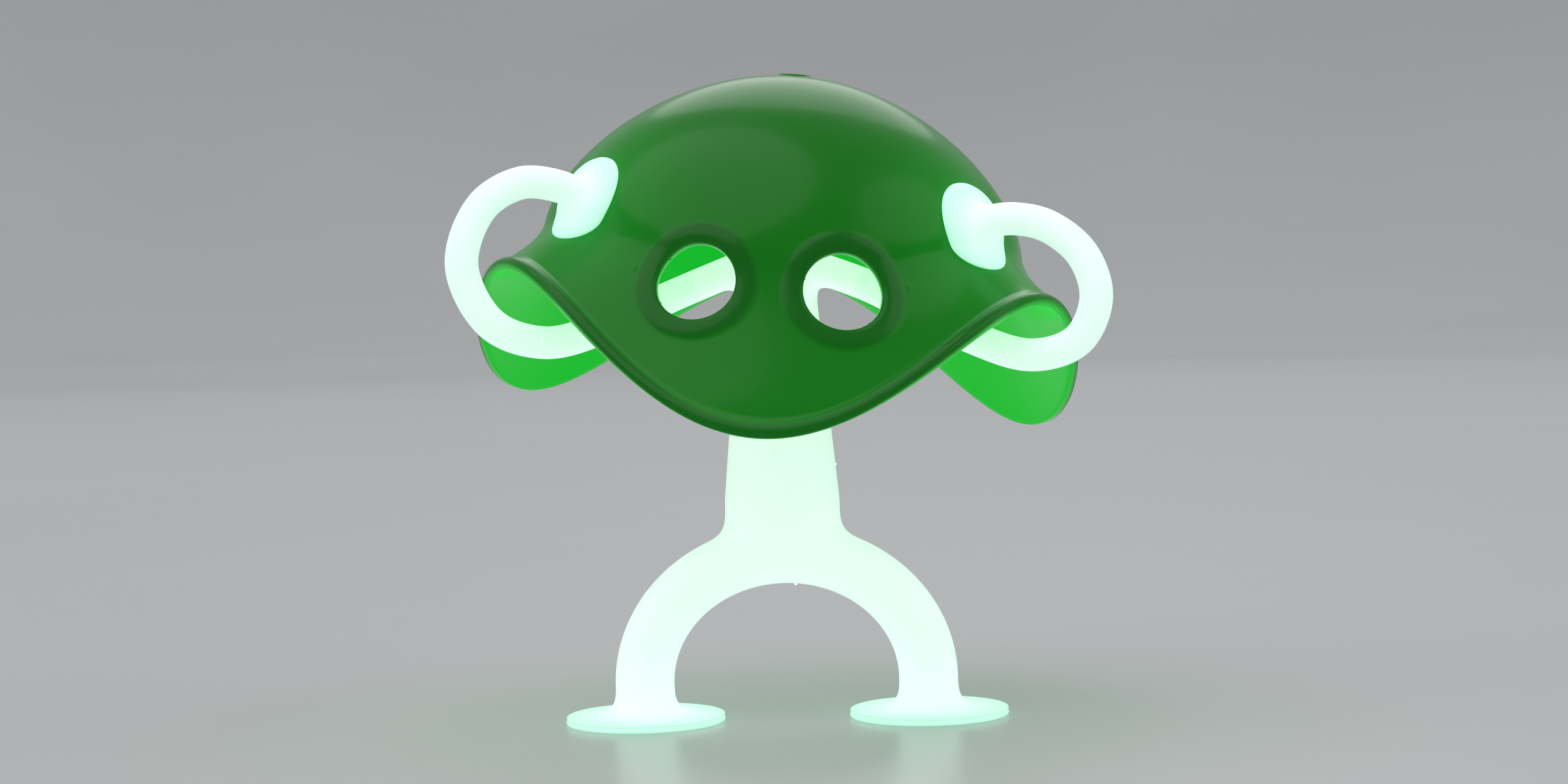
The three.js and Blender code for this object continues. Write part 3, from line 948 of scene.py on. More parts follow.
@dataclass
class ArchTube:
    """The tube of both legs, along part of an upright ellipse."""

    spread: float
    foot_height: float
    rise: float
    radius: float

    def at(self, angle: np.ndarray | float) -> np.ndarray:
        """Points of the middle line at angles in degrees, 0 at the right foot."""
        turn = np.radians(angle)
        return np.stack([self.spread * np.cos(turn), 0 * turn, self.foot_height + self.rise * np.sin(turn)], -1)

    def along(self, angle: np.ndarray | float) -> np.ndarray:
        """Directions of the middle line, towards growing angles."""
        turn = np.radians(angle)
        return unit(np.stack([-self.spread * np.sin(turn), 0 * turn, self.rise * np.cos(turn)], -1))

    def distance(self, points: np.ndarray) -> np.ndarray:
        """The distance from the tube's surface, negative inside."""
        x, z = points[:, 0], points[:, 2] - self.foot_height
        turn = np.arctan2(z / self.rise, x / self.spread)
        for _ in range(8):
            c, s = np.cos(turn), np.sin(turn)
            ex, ez, dx, dz = self.spread * c, self.rise * s, -self.spread * s, self.rise * c
            slope = (ex - x) * dx + (ez - z) * dz
            bend = dx * dx + dz * dz - (ex - x) * ex - (ez - z) * ez
            turn = turn - np.clip(slope / np.where(np.abs(bend) < 1e-3, 1e-3, bend), -0.3, 0.3)
        gap = np.stack([self.spread * np.cos(turn) - x, points[:, 1], self.rise * np.sin(turn) - z], -1)
        return np.linalg.norm(gap, axis=1) - self.radius


@dataclass
class Turned:
    """A turned body about the figure's axis, as a distance.

    Attributes:
        outline: Radius and height from the bottom of the axis to its top.
    """

    outline: np.ndarray

    def distance(self, points: np.ndarray) -> np.ndarray:
        """The distance from the body's surface, negative inside."""
        flat = np.stack([np.hypot(points[:, 0], points[:, 1]), points[:, 2]], -1)
        nearest = np.full(len(points), 1e9)
        for start, end in zip(self.outline, self.outline[1:]):
            along = end - start
            share = np.clip((flat - start) @ along / float(along @ along), 0, 1)
            gap = flat - start - share[:, None] * along
            nearest = np.minimum(nearest, np.einsum("ij,ij->i", gap, gap))
        low, high = self.outline[0, 1], self.outline[-1, 1]
        radius = np.interp(flat[:, 1], self.outline[:, 1], self.outline[:, 0])
        inside = (flat[:, 0] < radius) & (flat[:, 1] > low) & (flat[:, 1] < high)
        return np.where(inside, -1, 1) * np.sqrt(nearest)


@dataclass
class Ball:
    """A ball, as a distance."""

    centre: np.ndarray
    radius: float

    def distance(self, points: np.ndarray) -> np.ndarray:
        """The distance from the ball's surface, negative inside."""
        return np.linalg.norm(points - self.centre, axis=1) - self.radius


def soft_union(first: np.ndarray, second: np.ndarray, fillet: float) -> np.ndarray:
    """The distance to two bodies joined with a soft fillet of about that size."""
    share = np.clip(0.5 + 0.5 * (second - first) / fillet, 0, 1)
    return second + (first - second) * share - fillet * share * (1 - share)


# ---- arms --------------------------------------------------------------------------------


def rod_tree() -> bpy.types.NodeTree:
    """Geometry nodes for a round rod along the piece's line; built once.

    Returns:
        The tree, with its inputs Radius, Sides, Thinness and Material.
    """
    found = bpy.data.node_groups.get("rod_along_line")
    if found:
        return found
    tree = bpy.data.node_groups.new("rod_along_line", "GeometryNodeTree")
    tree.interface.new_socket("Geometry", in_out="INPUT", socket_type="NodeSocketGeometry")
    for label, kind, default in (("Radius", "NodeSocketFloat", 0.003), ("Sides", "NodeSocketInt", 40), ("Thinness", "NodeSocketFloat", 0.2)):
        tree.interface.new_socket(label, in_out="INPUT", socket_type=kind).default_value = default
    tree.interface.new_socket("Material", in_out="INPUT", socket_type="NodeSocketMaterial")
    tree.interface.new_socket("Geometry", in_out="OUTPUT", socket_type="NodeSocketGeometry")
    source, result = tree.nodes.new("NodeGroupInput"), tree.nodes.new("NodeGroupOutput")
    line = add_node(tree, "GeometryNodeMeshToCurve", {"Mesh": source.outputs["Geometry"]})
    section = add_node(tree, "GeometryNodeCurvePrimitiveCircle", {"Resolution": source.outputs["Sides"], "Radius": source.outputs["Radius"]})
    rod = add_node(tree, "GeometryNodeCurveToMesh", {"Curve": line.outputs["Curve"], "Profile Curve": section.outputs["Curve"], "Fill Caps": True})
    kept = add_node(tree, "GeometryNodeStoreNamedAttribute", {"Geometry": rod.outputs["Mesh"], "Name": "thinness", "Value": source.outputs["Thinness"]}, data_type="FLOAT", domain="POINT")
    single = add_node(tree, "GeometryNodeRealizeInstances", {"Geometry": kept.outputs["Geometry"]})
    dressed = add_node(tree, "GeometryNodeSetMaterial", {"Geometry": single.outputs["Geometry"], "Material": source.outputs["Material"]})
    tree.links.new(dressed.outputs["Geometry"], result.inputs["Geometry"])
    return tree


def from_nodes(name: str, points: np.ndarray, edges: Sequence[tuple[int, int]], tree: bpy.types.NodeTree, values: dict[str, object]) -> bpy.types.Object:
    """A plain mesh object made by a geometry node tree from a few points.

    Args:
        name: The piece's name.
        points: The starting points, in millimetres round the figure's axis.
        edges: The lines between them.
        tree: The geometry node tree.
        values: Values of the tree's named inputs.

    Returns:
        The finished object, with no modifier.
    """
    seed = bpy.data.meshes.new(f"{name}_line")
    seed.from_pydata(to_frame(points).tolist(), list(edges), [])
    holder = bpy.data.objects.new(f"{name}_line", seed)
    bpy.context.scene.collection.objects.link(holder)
    modifier = holder.modifiers.new("shape", "NODES")
    modifier.node_group = tree
    sockets = {item.name: item.identifier for item in tree.interface.items_tree if item.in_out == "INPUT"}
    for label, value in values.items():
        modifier[sockets[label]] = value
    mesh = bpy.data.meshes.new_from_object(holder.evaluated_get(bpy.context.evaluated_depsgraph_get()))
    mesh.name = name
    bpy.data.objects.remove(holder)
    piece = bpy.data.objects.new(name, mesh)
    bpy.context.scene.collection.objects.link(piece)
    mesh.polygons.foreach_set("use_smooth", [True] * len(mesh.polygons))
    sharpen_ends(piece)
    return piece


@dataclass
class Arm:
    """One arm, a thin rod that loops up to the shell's flank and ends in a suction cup.

    Attributes:
        side: Which arm.
        azimuth: Degrees from the front to the upright plane that the arm keeps to.
        route: Distance from the figure's axis and height of the points that its middle line goes through.
        seat_place: The same for the middle of the hand's seat on the shell.
        seat_tilt: Degrees that the hand's back looks upwards.
        radius: The rod's radius.
        hinges: How many hinges let it uncurl.
        first_hinge: How far along it the first hinge is.
        hand_reach: How far before its end the last hinge is.
        shoulder: How far along it the torso's own skin reaches.
        overlap: How far each stretch runs on into its neighbours, so that no crack shows.
        lean: How far sideways out of the arm's plane the hand is pulled over, towards growing azimuths.
        hand: The hand cup's outline, radius and height over its seat, from the arm to the hollow.
    """

    side: Side
    azimuth: float
    route: tuple[tuple[float, float], ...]
    seat_place: tuple[float, float]
    seat_tilt: float
    radius: float = 3.0
    hinges: int = 7
    first_hinge: float = 43.0
    hand_reach: float = 3.4
    shoulder: float = 12.0
    overlap: float = 0.15
    lean: float = 0.0
    hand: tuple[tuple[float, float], ...] = (
        (3.0, 4.6), (3.04, 4.0), (3.15, 3.45), (3.4, 2.95), (3.85, 2.5), (4.6, 2.15), (5.6, 1.85), (6.7, 1.6),
        (7.6, 1.38), (8.15, 1.18), (8.5, 0.92), (8.66, 0.62), (8.7, 0.38), (8.6, 0.16), (8.36, 0.06),
        (7.9, 0.05), (7.2, 0.1), (6.5, 0.4), (5.0, 0.85), (3.0, 1.15), (0.0, 1.3))

    def __post_init__(self) -> None:
        """Works out the middle line and the places of the hinges along it."""
        self.path = Path(catmull_rom(np.array([self.place(point) for point in self.route])))
        spacing = (self.path.length - self.first_hinge - self.hand_reach) / (self.hinges - 1)
        self.hinge_at = [self.first_hinge + i * spacing for i in range(self.hinges)]

    @property
    def outwards(self) -> np.ndarray:
        """The level direction of the arm's plane."""
        turn = math.radians(self.azimuth)
        return np.array([math.sin(turn), -math.cos(turn), 0.0])

    def place(self, point: tuple[float, float]) -> np.ndarray:
        """A point of the arm's plane, from its distance and height."""
        return self.outwards * point[0] + UP * point[1]

    @property
    def seat(self) -> np.ndarray:
        """The middle of the hand's seat."""
        return self.place(self.seat_place)

    @property
    def away(self) -> np.ndarray:
        """The direction from the seat to the arm."""
        tilt = math.radians(self.seat_tilt)
        return self.outwards * math.cos(tilt) + UP * math.sin(tilt)

    def body(self, number: int) -> str:
        """The name of the body after a hinge, counted from 0 for the shoulder."""
        if number == 0:
            return "upper_body"
        word = self.side.word
        return f"{word}_hand" if number == self.hinges else f"{word}_arm_{number}"

    def build(self) -> list[bpy.types.Object]:
        """The upper arm, the loop's skins and the hand.

        Returns:
            The pieces; the upper arm rides on the upper body, the others stay where they are built.
        """
        word = self.side.word
        bounds = [self.hinge_at[0] - 4.2]
        bounds += [(a + b) / 2 for a, b in zip(self.hinge_at, self.hinge_at[1:])]
        upper = self.rod(f"{word}_upper_arm_skin", self.shoulder, bounds[0])
        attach(upper, "upper_body")
        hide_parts(f"{word}_upper_arm")
        made = [upper]
        for number, (start, end) in enumerate(zip(bounds, bounds[1:]), 1):
            skin = self.rod(f"{word}_arm_skin_{number}", start, end)
            inset = 0.12 * (end - start)
            self.bend(skin, number, start + inset, end - inset)
            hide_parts(f"{word}_arm_{number}")
            made.append(skin)
        hand = self.hand_piece(f"{word}_hand_skin", bounds[-1])
        self.bend(hand, self.hinges, bounds[-1] + 0.5, min(self.hinge_at[-1] + 2.4, self.path.length))
        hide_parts(f"{word}_hand_cup")
        made.append(hand)
        return made

    def bend(self, piece: bpy.types.Object, number: int, start: float, end: float) -> None:
        """Bakes a piece's place into its mesh; the piece does not bend across its hinge."""
        frame_point(self.path.at(start))
        frame_point(self.path.at(end))
        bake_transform(piece)

    def rod(self, name: str, start: float, end: float) -> bpy.types.Object:
        """A stretch of the rod between two distances along the arm, and a little beyond them."""
        start, end = start - self.overlap, end + self.overlap
        steps = max(round((end - start) / 0.45), 4)
        points = self.path.at(np.linspace(start, end, steps + 1))
        edges = [(i, i + 1) for i in range(steps)]
        values = {"Radius": self.radius * MM, "Sides": 40, "Thinness": 0.2, "Material": SILICONE.material()}
        return from_nodes(name, points, edges, rod_tree(), values)

    def hand_piece(self, name: str, start: float) -> bpy.types.Object:
        """The last stretch with its suction cup, pressed to the curve of the shell."""
        start, end = start - self.overlap, self.path.length - 3.0
        distances = np.linspace(start, end, max(round((end - start) / 0.45), 4) + 1)
        line = [self.path.at(d) for d in distances]
        cup_top = self.seat + self.away * self.hand[0][1]
        reach = float(np.linalg.norm(cup_top - line[-1])) / 3
        controls = (line[-1], line[-1] + self.path.tangent(end) * reach, cup_top + self.away * reach, cup_top)
        line += list(bezier([np.array([c]) for c in controls], np.linspace(0, 1, 7)[1:-1]))
        tube_rings = len(line)
        line += [self.seat + self.away * height for _, height in self.hand]
        centres = np.array(line)
        pull = np.clip(np.arange(len(line)) / (tube_rings - 1), 0, 1)
        sideways = np.cross(self.away, UP) * -self.lean
        centres = centres + np.outer(pull * pull * (3 - 2 * pull), unit(sideways) * np.linalg.norm(sideways))
        axes = np.gradient(centres[: tube_rings + 1], axis=0)
        axes = np.vstack([axes[:tube_rings], np.tile(-self.away, (len(self.hand), 1))])
        axes[0] = self.path.tangent(start)
        radii = np.array([self.radius] * tube_rings + [radius for radius, _ in self.hand])
        sides = 64
        points, faces = stack_rings(centres, axes, radii, sides)
        thinness = np.full(len(points), 0.2)
        cup = points[tube_rings * sides :] - self.seat
        heights = cup @ self.away
        level = cup - heights[:, None] * self.away
        reach = np.linalg.norm(level - sideways * 1.0, axis=1)
        points[tube_rings * sides :] += self.away * (self.press(cup, heights))[:, None]
        thinness[tube_rings * sides :] = 0.2 + 0.65 * np.clip((reach - 3.5) / 4.5, 0, 1)
        piece = mesh_piece(name, points, faces, SILICONE)
        store(piece, "thinness", thinness)
        sharpen_ends(piece)
        return piece

    def press(self, cup: np.ndarray, heights: np.ndarray) -> np.ndarray:
        """How far each of the cup's corners moves along its axis to follow the shell.

        Args:
            cup: The corners, from the middle of the seat.
            heights: Their heights over the seat.

        Returns:
            The moves, all of them near the seat and none at the arm.
        """
        turn = FORM.turn
        centre = FORM.unworn(self.seat)
        outward = turn.T @ self.away
        across = unit(np.cross(UP, outward))
        up = np.cross(outward, across)
        local = cup @ turn
        azimuth, way = FORM.seek(centre, across, up, local @ across, local @ up, 0.0, (math.radians(self.azimuth), 0.95))
        surface = (FORM.point(azimuth, way) - centre) @ outward
        return (surface + 0.05) * np.clip(1.15 - heights / 4.2, 0, 1)


ARMS = (
    Arm(Side.LEFT, -55.0, ((8.9, 86), (24.3, 80.9), (38.5, 75.7), (52, 73.1), (63.2, 77), (68.7, 87.5), (64.4, 97.8),
        (56.2, 102.2), (49.6, 101.9), (46.2, 100.6)), (42.6, 99.2), 24.0, lean=0.7),
    Arm(Side.RIGHT, 55.0, ((8.9, 86), (21.8, 81.7), (42.4, 72.4), (56.6, 68.6), (66.2, 71.4), (69.9, 78.9), (67.4, 86.4),
        (60.8, 91.6), (54.2, 93.4), (50.2, 93.2)), (46.2, 92.2), 13.0, lean=-2.2),
)


# ---- torso, legs and head ----------------------------------------------------------------


@dataclass
class Figure:
    """The silicone figure but for its arms: one smooth skin, parted where it bends.

    Attributes:
        arch: The tube of both legs.
        outline: The torso's radius and height.
        head_height: The middle of the head in the shell's frame.
        head_radius: The head's radius.
        waist_cut: The height at which the torso's skin is parted.
        leg_cut: Degrees round the arch at which a leg's skin starts.
        knee_cut: Degrees at which the skin of the shin and foot starts.
        foot: The foot cup's outline, radius and height, from the ankle to the hollow.
        crown: The crown cup's outline in the shell's frame.
    """

    arch: ArchTube = field(default_factory=lambda: ArchTube(27.5, 6.0, 24.6, 5.7))
    outline: tuple[tuple[float, float], ...] = (
        (0, 29.4), (4, 29.8), (7, 31.2), (9.2, 33.4), (10.6, 36.2), (11.1, 39.6), (10.65, 46), (9.9, 54),
        (9.2, 62), (8.5, 70), (7.8, 79), (7.2, 84), (5.6, 87), (3, 88.3), (0, 88.7))
    head_height: float = 43.35
    head_radius: float = 11.0
    waist_cut: float = 52.3
    leg_cut: float = 66.0
    knee_cut: float = 30.0
    foot: tuple[tuple[float, float], ...] = (
        (5.7, 6.6), (5.72, 6.0), (5.78, 5.3), (5.9, 4.6), (6.12, 3.9), (6.5, 3.25), (7.05, 2.75), (7.9, 2.35),
        (9.2, 2.05), (11.0, 1.85), (13.0, 1.7), (14.4, 1.6), (15.0, 1.52), (15.25, 1.42), (15.35, 1.25),
        (15.33, 1.08), (15.2, 0.95), (15.12, 0.86), (15.2, 0.77), (15.34, 0.64), (15.4, 0.45), (15.36, 0.2),
        (15.15, 0.03), (14.6, 0.0), (13.4, 0.0), (12.5, 0.04), (11.5, 0.35), (9.4, 0.8), (6.4, 1.1),
        (3.0, 1.25), (0.0, 1.3))
    crown: tuple[tuple[float, float], ...] = (
        (0.0, 53.9), (3.4, 54.0), (4.3, 54.5), (4.6, 55.4), (5.1, 56.6), (6.4, 57.9), (8.6, 59.1), (10.6, 59.95),
        (11.7, 60.5), (12.05, 60.95), (11.95, 61.3), (11.5, 61.5), (10.6, 61.65), (7.0, 61.2), (0.0, 60.8))

    def solids(self) -> tuple[Turned, ArchTube, list[Tube], Ball, Tube]:
        """The bodies that the skin wraps: torso, legs, shoulders, head and neck."""
        rounded = catmull_rom(np.array([(r, 0.0, z) for r, z in self.outline]), 6)
        rounded[:, 0] = rounded[:, 0].clip(0)
        torso = Turned(rounded[:, [0, 2]])
        shoulders = [Tube(np.vstack([[0, 0, 86.8], arm.path.at(np.linspace(0, arm.shoulder + 6, 12))]), arm.radius) for arm in ARMS]
        middle = FORM.worn(np.array([0, 0, self.head_height]))
        return torso, self.arch, shoulders, Ball(middle, self.head_radius), Tube(np.array([[0, 0, 84], middle]), 4.2)

    def distance(self, points: np.ndarray) -> np.ndarray:
        """The distance from the figure's skin, negative inside."""
        torso, arch, shoulders, head, neck = self._solids
        skin = soft_union(torso.distance(points), arch.distance(points), 5.0)
        for shoulder in shoulders:
            skin = soft_union(skin, shoulder.distance(points), 6.0)
        return soft_union(soft_union(skin, neck.distance(points), 3.0), head.distance(points), 3.0)

    def rough_mesh(self) -> bpy.types.Mesh:
        """An even mesh of the union of the bodies, in millimetres, before its skin is drawn smooth."""
        torso, arch, shoulders, head, neck = self._solids
        parts = []
        outline = torso.outline[1:-1]
        lathe_centres = np.stack([0 * outline[:, 0], 0 * outline[:, 0], outline[:, 1]], -1)
        parts.append(stack_rings(lathe_centres, np.tile(UP, (len(outline), 1)), outline[:, 0], 32))
        angles = np.linspace(self.knee_cut - 8, 180 - self.knee_cut + 8, 60)
        parts.append(stack_rings(arch.at(angles), arch.along(angles), np.full(60, arch.radius), 24))
        for tube in (*shoulders, neck):
            steps = np.diff(tube.line, axis=0)
            parts.append(stack_rings(tube.line, np.vstack([steps, steps[-1:]]), np.full(len(tube.line), tube.radius), 16))
        turns = np.linspace(0.05, math.pi - 0.05, 16)
        ball_centres = head.centre + np.outer(-np.cos(turns), UP) * head.radius
        parts.append(stack_rings(ball_centres, np.tile(UP, (16, 1)), np.sin(turns) * head.radius, 24))
        points = np.vstack([p for p, _ in parts])
        offsets = np.cumsum([0] + [len(p) for p, _ in parts])
        faces = [[i + start for i in face] for (_, fs), start in zip(parts, offsets) for face in fs]
        mesh = bpy.data.meshes.new("rough_figure")
        mesh.from_pydata(points.tolist(), [], faces)
        holder = bpy.data.objects.new("rough_figure", mesh)
        bpy.context.scene.collection.objects.link(holder)
        remesh = holder.modifiers.new("even", "REMESH")
        remesh.mode = "VOXEL"
        remesh.voxel_size = 0.62
        even = bpy.data.meshes.new_from_object(holder.evaluated_get(bpy.context.evaluated_depsgraph_get()))
        bpy.data.objects.remove(holder)
        return even

    def gradient(self, points: np.ndarray) -> tuple[np.ndarray, np.ndarray]:
        """The distance with its outward direction, from four samples round each point."""
        corners = np.array([[1, 1, 1], [1, -1, -1], [-1, 1, -1], [-1, -1, 1]]) * 0.02
        samples = [self.distance(points + corner) for corner in corners]
        return sum(samples) / 4, unit(sum(np.outer(s, c) for s, c in zip(samples, corners)))

    def smooth_skin(self) -> bpy.types.Mesh:
        """The even mesh drawn on to the figure's true skin."""
        mesh = self.rough_mesh()
        points = np.array([v.co for v in mesh.vertices])
        edges = np.array([e.vertices[:] for e in mesh.edges])
        count = np.bincount(edges.ravel(), minlength=len(points))[:, None]
        for round_number in range(7):
            if round_number < 5:
                total = np.zeros_like(points)
                np.add.at(total, edges[:, 0], points[edges[:, 1]])
                np.add.at(total, edges[:, 1], points[edges[:, 0]])
                points = 0.4 * points + 0.6 * total / np.maximum(count, 1)
            away, outward = self.gradient(points)
            points = points - outward * away[:, None]
        mesh.vertices.foreach_set("co", points.ravel())
        return mesh

    def build(self) -> list[bpy.types.Object]:
        """The torso's two skins, the thighs, the shins with their feet, and the crown cup.

        Returns:
            The pieces; the crown cup rides on the upper body, the others stay where they are built.
        """
        self._solids = self.solids()
        work = bmesh.new()
        work.from_mesh(self.smooth_skin())
        planes = [(np.array([0, 0, self.waist_cut]), UP, 14.0)]
        for side in Side:
            planes += [(*self.leg_plane(side, angle), 9.0) for angle in (self.leg_cut, self.knee_cut)]
        planes += [(arm.path.at(arm.shoulder), arm.path.tangent(arm.shoulder), 7.0) for arm in ARMS]
        for point, normal, reach in planes:
            near = [f for f in work.faces if np.linalg.norm(np.array(f.calc_center_median()) - point) < reach]
            cut = list(near) + list({e for f in near for e in f.edges}) + list({v for f in near for v in f.verts})
            bmesh.ops.bisect_plane(work, geom=cut, dist=1e-4, plane_co=Vector(point), plane_no=Vector(normal))
        work.faces.ensure_lookup_table()
        labels = [self.region(np.array(f.calc_center_median())) for f in work.faces]
        names = {"lower": "lower_torso_skin", "upper": "upper_torso_skin", "left": "left_thigh_skin", "right": "right_thigh_skin"}
        pieces = {label: self.extract(work, labels, label, name) for label, name in names.items()}
        work.free()
        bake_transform(pieces["lower"])
        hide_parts("hips", "waist")
        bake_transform(pieces["upper"])
        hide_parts("chest", "head")
        made = list(pieces.values())
        for side in Side:
            word = side.word
            thigh = pieces[word]
            frame_point(self.leg_plane(side, 65.0)[0])
            frame_point(self.leg_plane(side, 50.0)[0])
            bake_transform(thigh)
            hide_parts(f"{word}_leg")
            made.append(self.shin_and_foot(side))
        made.append(self.crown_cup())
        return made

    def leg_plane(self, side: Side, angle: float) -> tuple[np.ndarray, np.ndarray]:
        """A point of the leg's middle line and its direction towards the foot."""
        turn = angle if side is Side.RIGHT else 180 - angle
        return self.arch.at(turn), -side.value * self.arch.along(turn)

    def region(self, centre: np.ndarray) -> str:
        """The part of the skin that a face belongs to."""
        if centre[2] > self.waist_cut:
            for arm in ARMS:
                beyond = float((centre - arm.path.at(arm.shoulder)) @ arm.path.tangent(arm.shoulder)) > 0
                if beyond and float(centre @ arm.outwards) > 12:
                    return "cut off"
            return "upper"
        side = Side.RIGHT if centre[0] > 0 else Side.LEFT
        for angle, label in ((self.knee_cut, "cut off"), (self.leg_cut, side.word)):
            point, normal = self.leg_plane(side, angle)
            if float((centre - point) @ normal) > 0 and centre[2] < 37:
                return label
        return "lower"

    def extract(self, work: bmesh.types.BMesh, labels: list[str], label: str, name: str) -> bpy.types.Object:
        """One region of the skin as a closed piece.

        Args:
            work: The whole skin.
            labels: The region of each of its faces.
            label: The wanted region.
            name: The piece's name.

        Returns:
            The piece, with flat, sharp-edged ends.
        """
        part = work.copy()
        part.faces.ensure_lookup_table()
        bmesh.ops.delete(part, geom=[f for f, l in zip(part.faces, labels) if l != label], context="FACES")
        rim = [e for e in part.edges if e.is_boundary]
        bmesh.ops.holes_fill(part, edges=rim, sides=0)
        bmesh.ops.recalc_face_normals(part, faces=part.faces)
        part.verts.index_update()
        points = np.array([v.co for v in part.verts])
        piece = mesh_piece(name, points, [[v.index for v in f.verts] for f in part.faces], SILICONE)
        part.free()
        store(piece, "thinness", np.zeros(len(points)))
        sharpen_ends(piece)
        return piece

    def shin_and_foot(self, side: Side) -> bpy.types.Object:
        """The lower leg with its suction cup."""
        angles = np.linspace(self.knee_cut, 2, 34)
        turns = angles if side is Side.RIGHT else 180 - angles
        centres = list(self.arch.at(turns))
        axes = list(-side.value * self.arch.along(turns))
        radii = [self.arch.radius] * len(angles)
        for height in np.arange(6.4, 5.3, -0.35):
            centres.append(np.array([side.value * self.arch.spread, 0, height]))
            axes.append(-UP)
            radii.append(self.arch.radius)
        for radius, height in self.foot:
            centres.append(np.array([side.value * self.arch.spread, 0, height - AXIS[2]]))
            axes.append(-UP)
            radii.append(radius)
        points, faces = stack_rings(np.array(centres), np.array(axes), np.array(radii), 72)
        piece = mesh_piece(f"{side.word}_shin_and_foot", points, faces, SILICONE)
        reach = np.hypot(points[:, 0] - side.value * self.arch.spread, points[:, 1])
        low = points[:, 2] < 5
        store(piece, "thinness", np.where(low, 0.75 * np.clip((reach - 6.5) / 8, 0, 1) ** 0.8, 0.0))
        sharpen_ends(piece)
        start, end = self.leg_plane(side, 20.0)[0], np.array([side.value * self.arch.spread, 0, 5.2])
        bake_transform(piece)
        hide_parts(f"{side.word}_foot_cup")
        return piece

    def crown_cup(self) -> bpy.types.Object:
        """The cup on top of the head that grips the inside of the dome."""
        outline = np.array(self.crown)
        centres = np.stack([0 * outline[:, 0], 0 * outline[:, 0], outline[:, 1]], -1)
        points, faces = stack_rings(centres, np.tile(UP, (len(outline), 1)), outline[:, 0], 48)
        piece = mesh_piece("crown_cup_skin", FORM.worn(points), faces, SILICONE)
        store(piece, "thinness", np.full(len(points), 0.5))
        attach(piece, "upper_body")
        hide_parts("crown_cup")
        return piece


# ---- moulding marks ----------------------------------------------------------------------


def nib_tree() -> bpy.types.NodeTree:
    """Geometry nodes that put a small rounded nib of flash on each starting point; built once.

    Returns:
        The tree, with its inputs Size, Seed and Material.
    """
    found = bpy.data.node_groups.get("flash_nibs")
    if found:
        return found
    tree = bpy.data.node_groups.new("flash_nibs", "GeometryNodeTree")
    tree.interface.new_socket("Geometry", in_out="INPUT", socket_type="NodeSocketGeometry")
    tree.interface.new_socket("Size", in_out="INPUT", socket_type="NodeSocketFloat").default_value = 0.0003
    tree.interface.new_socket("Seed", in_out="INPUT", socket_type="NodeSocketInt").default_value = 4
    tree.interface.new_socket("Material", in_out="INPUT", socket_type="NodeSocketMaterial")
    tree.interface.new_socket("Geometry", in_out="OUTPUT", socket_type="NodeSocketGeometry")
    source, result = tree.nodes.new("NodeGroupInput"), tree.nodes.new("NodeGroupOutput")
    nib = add_node(tree, "GeometryNodeMeshIcoSphere", {"Radius": source.outputs["Size"], "Subdivisions": 3})
    spots = add_node(tree, "GeometryNodeMeshToPoints", {"Mesh": source.outputs["Geometry"]})
    size = add_node(tree, "FunctionNodeRandomValue", {"Seed": source.outputs["Seed"]}, data_type="FLOAT_VECTOR")
    size.inputs[0].default_value = (0.6, 0.6, 0.7)
    size.inputs[1].default_value = (1.0, 1.0, 1.3)
    placed = add_node(tree, "GeometryNodeInstanceOnPoints", {"Points": spots.outputs["Points"], "Instance": nib.outputs["Mesh"], "Scale": size.outputs[0]})
    single = add_node(tree, "GeometryNodeRealizeInstances", {"Geometry": placed.outputs["Instances"]})
    dressed = add_node(tree, "GeometryNodeSetMaterial", {"Geometry": single.outputs["Geometry"], "Material": source.outputs["Material"]})
    tree.links.new(dressed.outputs["Geometry"], result.inputs["Geometry"])
    return tree


@dataclass
class MouldingMarks:
    """Small nibs of flash left by the moulds: in the eye holes, at the crotch and beside the waist.

    Attributes:
        burr_angles: Degrees round an eye hole to each of its burrs.
        burr_size: The radius of a burr.
        nib_size: The radius of a nib on the silicone.
        crotch: The place of the crotch nib.
        flank: The place of the nib beside the waist.
    """

    burr_angles: tuple[float, ...] = (-58.0, -76.0, -97.0, -112.0, -134.0, 152.0)
    burr_size: float = 0.17
    nib_size: float = 0.3
    crotch: tuple[float, float, float] = (2.2, 0.0, 24.6)
    flank: tuple[float, float, float] = (10.5, 0.0, 47.7)

    def build(self) -> list[bpy.types.Object]:
        """All of the marks.

        Returns:
            The burrs of each eye hole and the two nibs, each riding on its body.
        """
        made = []
        for side in Side:
            burrs = self.marks(f"{side.word}_hole_burrs", self.burr_places(side), self.burr_size, PLASTIC)
            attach(burrs, "upper_body")
            made.append(burrs)
        for name, place, body in (("crotch_nib", self.crotch, "hips"), ("flank_nib", self.flank, "waist")):
            nib = self.marks(name, np.array([place]), self.nib_size, SILICONE)
            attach(nib, body)
            made.append(nib)
        return made

    def marks(self, name: str, places: np.ndarray, size: float, finish: Finish) -> bpy.types.Object:
        """One piece with a nib at each place."""
        values = {"Size": size * MM, "Seed": 4, "Material": finish.material()}
        return from_nodes(name, places, [], nib_tree(), values)

    def burr_places(self, side: Side) -> np.ndarray:
        """The burrs' places on the edge of an eye hole, half way through the wall."""
        shell = Shell()
        centre, across, up = shell.eye_frame(side)
        angles = np.radians(np.array(self.burr_angles) + 9 * side.value)
        start = (math.radians(side.value * shell.eye_azimuth), 1.15)
        lift = np.full(angles.shape, -0.5 * FORM.wall)
        x, y = (shell.hole * np.cos(angles), shell.hole * np.sin(angles))
        azimuth, way = FORM.seek(centre, across, up, x, y, lift, start)
        return FORM.worn(FORM.lifted(azimuth, way, lift))


# ---- stage -------------------------------------------------------------------------------


